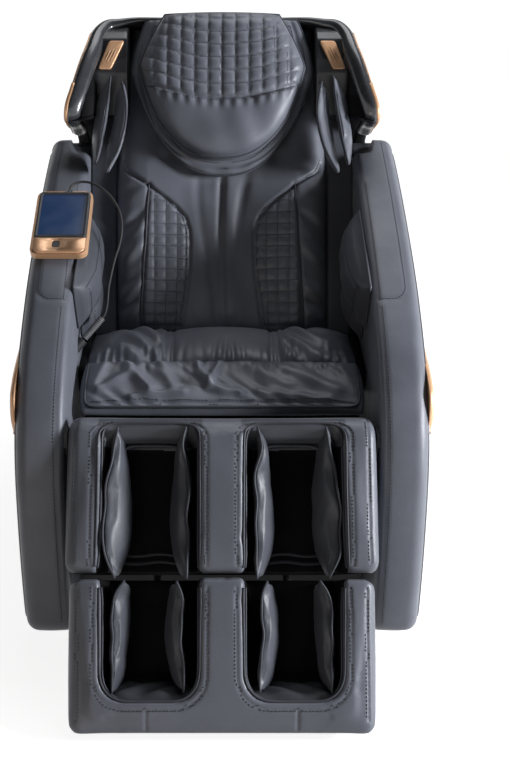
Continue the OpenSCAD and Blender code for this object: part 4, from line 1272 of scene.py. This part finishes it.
def grille(side, place):
    """A slanted copper plate with rounded corners, and leaf-shaped slots laid in it, their darker copper a painted
    shade inside the slots.
    """
    plate = eased(even(mm([(236, 614), (263, 614), (240, 676), (207, 676)]), 0.003, True), 3)
    rings = []
    for y, d in ((-0.0500, 0.0), (-0.0560, 0.0), (-0.0572, 0.0008), (-0.0576, 0.0022)):
        rings.append([(x, y, z) for x, z in inset(plate, d)])
    body = facing_out(loft("grille_" + side, rings, place))
    slots = []
    for shift, share in LEAF_SLOTS:
        v = np.linspace(-1, 1, 14)
        half = 0.0019 * (1 - v ** 2)
        z = 0.645 + 0.023 * share * v
        x = 0.2365 + shift - 0.011 * share * v
        edge = np.vstack([np.column_stack([x + half, z]), np.column_stack([x - half, z])[::-1][1:-1]])
        rings = [[(p, y, q) for p, q in edge] for y in (-0.0570, -0.0578)]
        slots.append(facing_out(loft("slot", rings, place)))
    dress(join("grille_slots_" + side, slots), "slot_shade", "backrest")
    return dress(body, "copper", "backrest")


# Head band: a rounded glossy rail from wing to wing over the head, turned in under the wings.
# Rows of x, y, z, half width and half depth in millimetres, from the middle to the right end
BAND = [(0, 8, 741, 6, 20), (90, 6, 741, 6, 20), (150, 2, 740, 7, 20), (190, -4, 736, 9, 20),
        (222, -10, 728, 12, 20), (249, -18, 719, 15, 20), (266, -33, 694, 17, 19), (275, -54, 652, 18, 18),
        (286, -70, 611, 18, 17), (300, -86, 552, 18, 16), (309, -91, 521, 17, 14), (312, -85, 504, 16, 12),
        (312, -60, 503, 16, 12), (311, -20, 507, 16, 12), (310, 20, 507, 16, 12)]
LINE_AT = math.radians(12)
LINE_FROM, TIP_FROM = 62, 88


def band_frames():
    """The band's middle line, its outward and forward ways and its half sizes."""
    rows = smooth(mm(BAND), 10)
    at, sizes = rows[:, :3], rows[:, 3:]
    way = np.gradient(at, axis=0)
    way /= np.linalg.norm(way, axis=1)[:, None]
    outward, out = [], np.array([0.0, 0.0, 1.0])
    for w in way:
        out = out - w * (out @ w)
        out /= np.linalg.norm(out)
        outward.append(out)
    outward = np.array(outward)
    return at, outward, np.cross(way, outward), sizes


def head_band():
    at, outward, forward, sizes = band_frames()
    turn = np.linspace(0, 2 * np.pi, 32, endpoint=False)
    c, w = np.cos(turn), np.sin(turn)
    c, w = np.sign(c) * np.abs(c) ** 0.8, np.sign(w) * np.abs(w) ** 0.8
    stations = zip(at, outward, forward, sizes)
    right = [p + np.outer(a * c, o) + np.outer(b * w, f) for p, o, f, (a, b) in stations]
    left = [ring * (-1, 1, 1) for ring in right[:0:-1]]
    return facing_out(loft("head_band", left + right, BACK))


band_at, band_out, band_fore, band_size = band_frames()
edge = band_at + math.cos(LINE_AT) * band_out * band_size[:, :1]
edge = edge + math.sin(LINE_AT) * band_fore * band_size[:, 1:]


def under_wing(p):
    return math.hypot(p.y, p.z) < UNDER_WING_R


for side in SIDES:
    place = BACK @ mirrored(side)
    block = slab("block", even(BLOCK, 0.004, True), BLOCK_IN, WING_IN + 0.002, 0.006, 0.001, 0.0, place)
    panel = join("wing_panel_" + side, [wing_part("panel", 0.0, BAND_FROM + 0.02, place), block])
    cheek = wing_part("wing_band_" + side, BAND_FROM, 1.0, place, 18)
    line = tube("wing_line_" + side, edge[LINE_FROM:], 0.0022, 8, False, place)
    tip = tube("wing_tip_" + side, edge[TIP_FROM:-12] - (0.002, 0, 0), 0.0055, 12, False, place)
    grille(side, place)
    dress(panel, "gloss", "backrest", "wing_" + side)
    dress(cheek, "shell", "backrest")
    # The wing panel's outer faces and the band's underside are painted near-black, a painted shade under and
    # behind the wings
    repaint(panel, BACK, "lining", lambda p: abs(p.x) > WING_IN - 0.001)
    repaint(cheek, BACK, "lining", under_wing)
    dress(line, "copper", "backrest")
    dress(tip, "copper", "backrest")
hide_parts("wing_trims")
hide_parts("speaker_grilles")
dress(head_band(), "shell", "backrest")

# Side covers: dark padding that closes the gap between the back pad and the arms
COVER_IN, COVER_OUT = 0.224, 0.2835
COVER_LINE = even(mm([(16, 52), (62, 52), (62, 620), (16, 620)]), OUTLINE_STEP, True)
for side in SIDES:
    place = BACK @ mirrored(side)
    cover = slab("back_side_" + side, COVER_LINE, COVER_IN, COVER_OUT, 0.012, 0.003, 0.0, place)
    dress(cover, "cover", "backrest", fill=0.5)

# Dark linings that close the gaps beside and behind the seat, and the step at the rear of each arm: their dark
# paints are a painted shade for those gaps
SEAT_GAP = even(mm([(-150, 400), (46, 400), (46, 461), (-150, 446)]), 0.008, True)
STEP_GAP = even(mm([(262, 744), (300, 755), (302, 779), (284, 775)]), 0.003, True)
SEAT_FRONT = even(mm([(-251, 406), (-259, 406), (-287, 352), (-279, 350)]), 0.004, True)
GAPS = [("seat_gap_", SEAT_GAP, 0.2700, 0.2848, 0.004, "lining"),
        ("step_gap_", STEP_GAP, 0.2855, 0.330, 0.003, "cover")]
for side in SIDES:
    for name, line, near, far, r, paint in GAPS:
        filler = slab(name + side, line, near, far, r, 0.001, 0.0, CHAIR @ mirrored(side))
        dress(filler, paint, "base")
dress(slab("seat_front", SEAT_FRONT, -0.262, 0.262, 0.003, 0.001, 0.0, CHAIR), "lining", "base")

# Remote: a dark frame round the screen and a copper face below it, with the button's opening
REMOTE_AT = (-317, -7, 700.5)
REMOTE_TILT = 24
remote_place = CHAIR @ turned(REMOTE_AT, ("X", REMOTE_TILT))


def round_rect(w, h, r, n=6):
    """A rounded rectangle about the origin, counter-clockwise."""
    x, y = w / 2 - r, h / 2 - r
    return np.vstack([arc((x, -y), r, -90, 0, n), arc((x, y), r, 0, 90, n), arc((-x, y), r, 90, 180, n),
                      arc((-x, -y), r, 180, 270, n)])


SCREEN_UP = 0.020
outer, inner = round_rect(0.101, 0.131, 0.006), round_rect(0.0895, 0.1175, 0.003)
top = round_rect(0.0995, 0.1295, 0.0055)
steps = ((outer, 0.0051), (outer, 0.0066), (top, 0.0074), (inner, 0.0074), (inner, 0.0056))
frame_points = np.array([[(x, y + SCREEN_UP, z) for x, y in shape] for shape, z in steps]).reshape(-1, 3)
screen_frame = new_mesh("screen_frame", frame_points, ring_faces(len(steps), len(outer)), remote_place)
screen_frame = facing_out(screen_frame)
dress(screen_frame, "black_plastic", "base")


def outlined(name, shape, levels):
    return facing_out(loft(name, [[(x, y, z) for x, y in inset(shape, d)] for z, d in levels]))


chin = np.vstack([arc((0.0355, -0.0715), 0.016, -90, 0, 8), [(0.0515, -0.0465), (-0.0515, -0.0465)],
                  arc((-0.0355, -0.0715), 0.016, 180, 270, 8)])
CHIN_LEVELS = ((0.0051, 0.0), (0.0068, 0.0), (0.0076, 0.0012))
BUTTON_AT = (-0.006, -0.064)
chin_plate = outlined("remote_chin", even(chin, 0.002, True), CHIN_LEVELS)
button_line = round_rect(0.0155, 0.0195, 0.005) + BUTTON_AT
button_hole = outlined("hole", button_line, ((0.004, 0.0), (0.010, 0.0)))
opened = chin_plate.modifiers.new("hole", "BOOLEAN")
opened.object = button_hole
chin_plate = evaluated(chin_plate)
bpy.data.objects.remove(button_hole)
chin_plate.data.transform(remote_place)
dress(facing_out(chin_plate), "copper", "base")

# Studio: a white floor that rises to a backdrop all round, and soft light from a window on the right
FLOOR_R = 6.0
GLOW_NEAR, GLOW_FAR = (0.5, 0.86), (1.6, 1.0)
WALL_R, WALL_H = 7.5, 4.5
FLOOR_STEPS = 96
turn = np.linspace(0, 2 * np.pi, FLOOR_STEPS, endpoint=False)
circle = np.column_stack([np.cos(turn), np.sin(turn)])
rise = [(FLOOR_R, 0.0), (FLOOR_R + 0.6, 0.06), (FLOOR_R + 1.1, 0.35), (WALL_R - 0.1, 1.0), (WALL_R, WALL_H)]
floor_rings = [np.column_stack([r * circle, np.full(FLOOR_STEPS, z)]) for r, z in rise]
floor_points = np.vstack(floor_rings + [[(0, 0, 0)]])
floor_faces = ring_faces(len(rise), FLOOR_STEPS) + fan(list(range(FLOOR_STEPS)), len(rise) * FLOOR_STEPS)
floor = new_mesh("floor", floor_points, floor_faces)
floor_paint = Paint("floor", (0.45, 0.45, 0.45), 0.8)
tree = floor_paint.tree
rays = tree.nodes.new("ShaderNodeLightPath")
seen = rays.outputs["Is Camera Ray"]
for ray in ("Is Glossy Ray", "Is Transmission Ray"):
    either = floor_paint.node("ShaderNodeMath", operation="MAXIMUM")
    tree.links.new(seen, either.inputs[0])
    tree.links.new(rays.outputs[ray], either.inputs[1])
    seen = either.outputs["Value"]
glow = floor_paint.node("ShaderNodeMath", operation="MULTIPLY")
tree.links.new(seen, glow.inputs[0])
radius = floor_paint.node("ShaderNodeVectorMath", [("Vector", floor_paint.place)], operation="LENGTH")
(near, dim), (far, full) = GLOW_NEAR, GLOW_FAR
tree.links.new(floor_paint.between(radius.outputs["Value"], dim, full, near, far), glow.inputs[1])
floor_paint.shader.inputs["Emission Color"].default_value = (1, 1, 1, 1)
floor_paint.feed("Emission Strength", glow.outputs["Value"])
floor.data.materials.append(floor_paint.material)


def area_light(name, at, size, watts, colour, aim=(0, 0, 0.5)):
    lamp = bpy.data.lights.new(name, "AREA")
    lamp.shape = "RECTANGLE"
    lamp.size, lamp.size_y = size
    lamp.energy = watts
    lamp.color = colour
    made = bpy.data.objects.new(name, lamp)
    made.location = at
    made.rotation_euler = (Vector(aim) - Vector(at)).to_track_quat("-Z", "Y").to_euler()
    bpy.context.scene.collection.objects.link(made)


area_light("window", (3.0, -0.85, 1.2), (0.6, 0.8), 205, (0.95, 0.97, 1.0))
area_light("top", (0.3, 1.0, 2.8), (1.6, 1.2), 26, (0.95, 0.97, 1.0))
area_light("fill", (-0.9, -2.0, 0.35), (0.9, 0.5), 4, (1.0, 0.86, 0.74), (-0.1, -0.5, 0.2))
WORLD_STRENGTH = 0.03
scene = bpy.context.scene
scene.view_settings.view_transform = "Standard"
scene.world = bpy.data.worlds.new("studio")
scene.world.use_nodes = True
background = scene.world.node_tree.nodes["Background"]
background.inputs["Color"].default_value = (1, 1, 1, 1)
background.inputs["Strength"].default_value = WORLD_STRENGTH
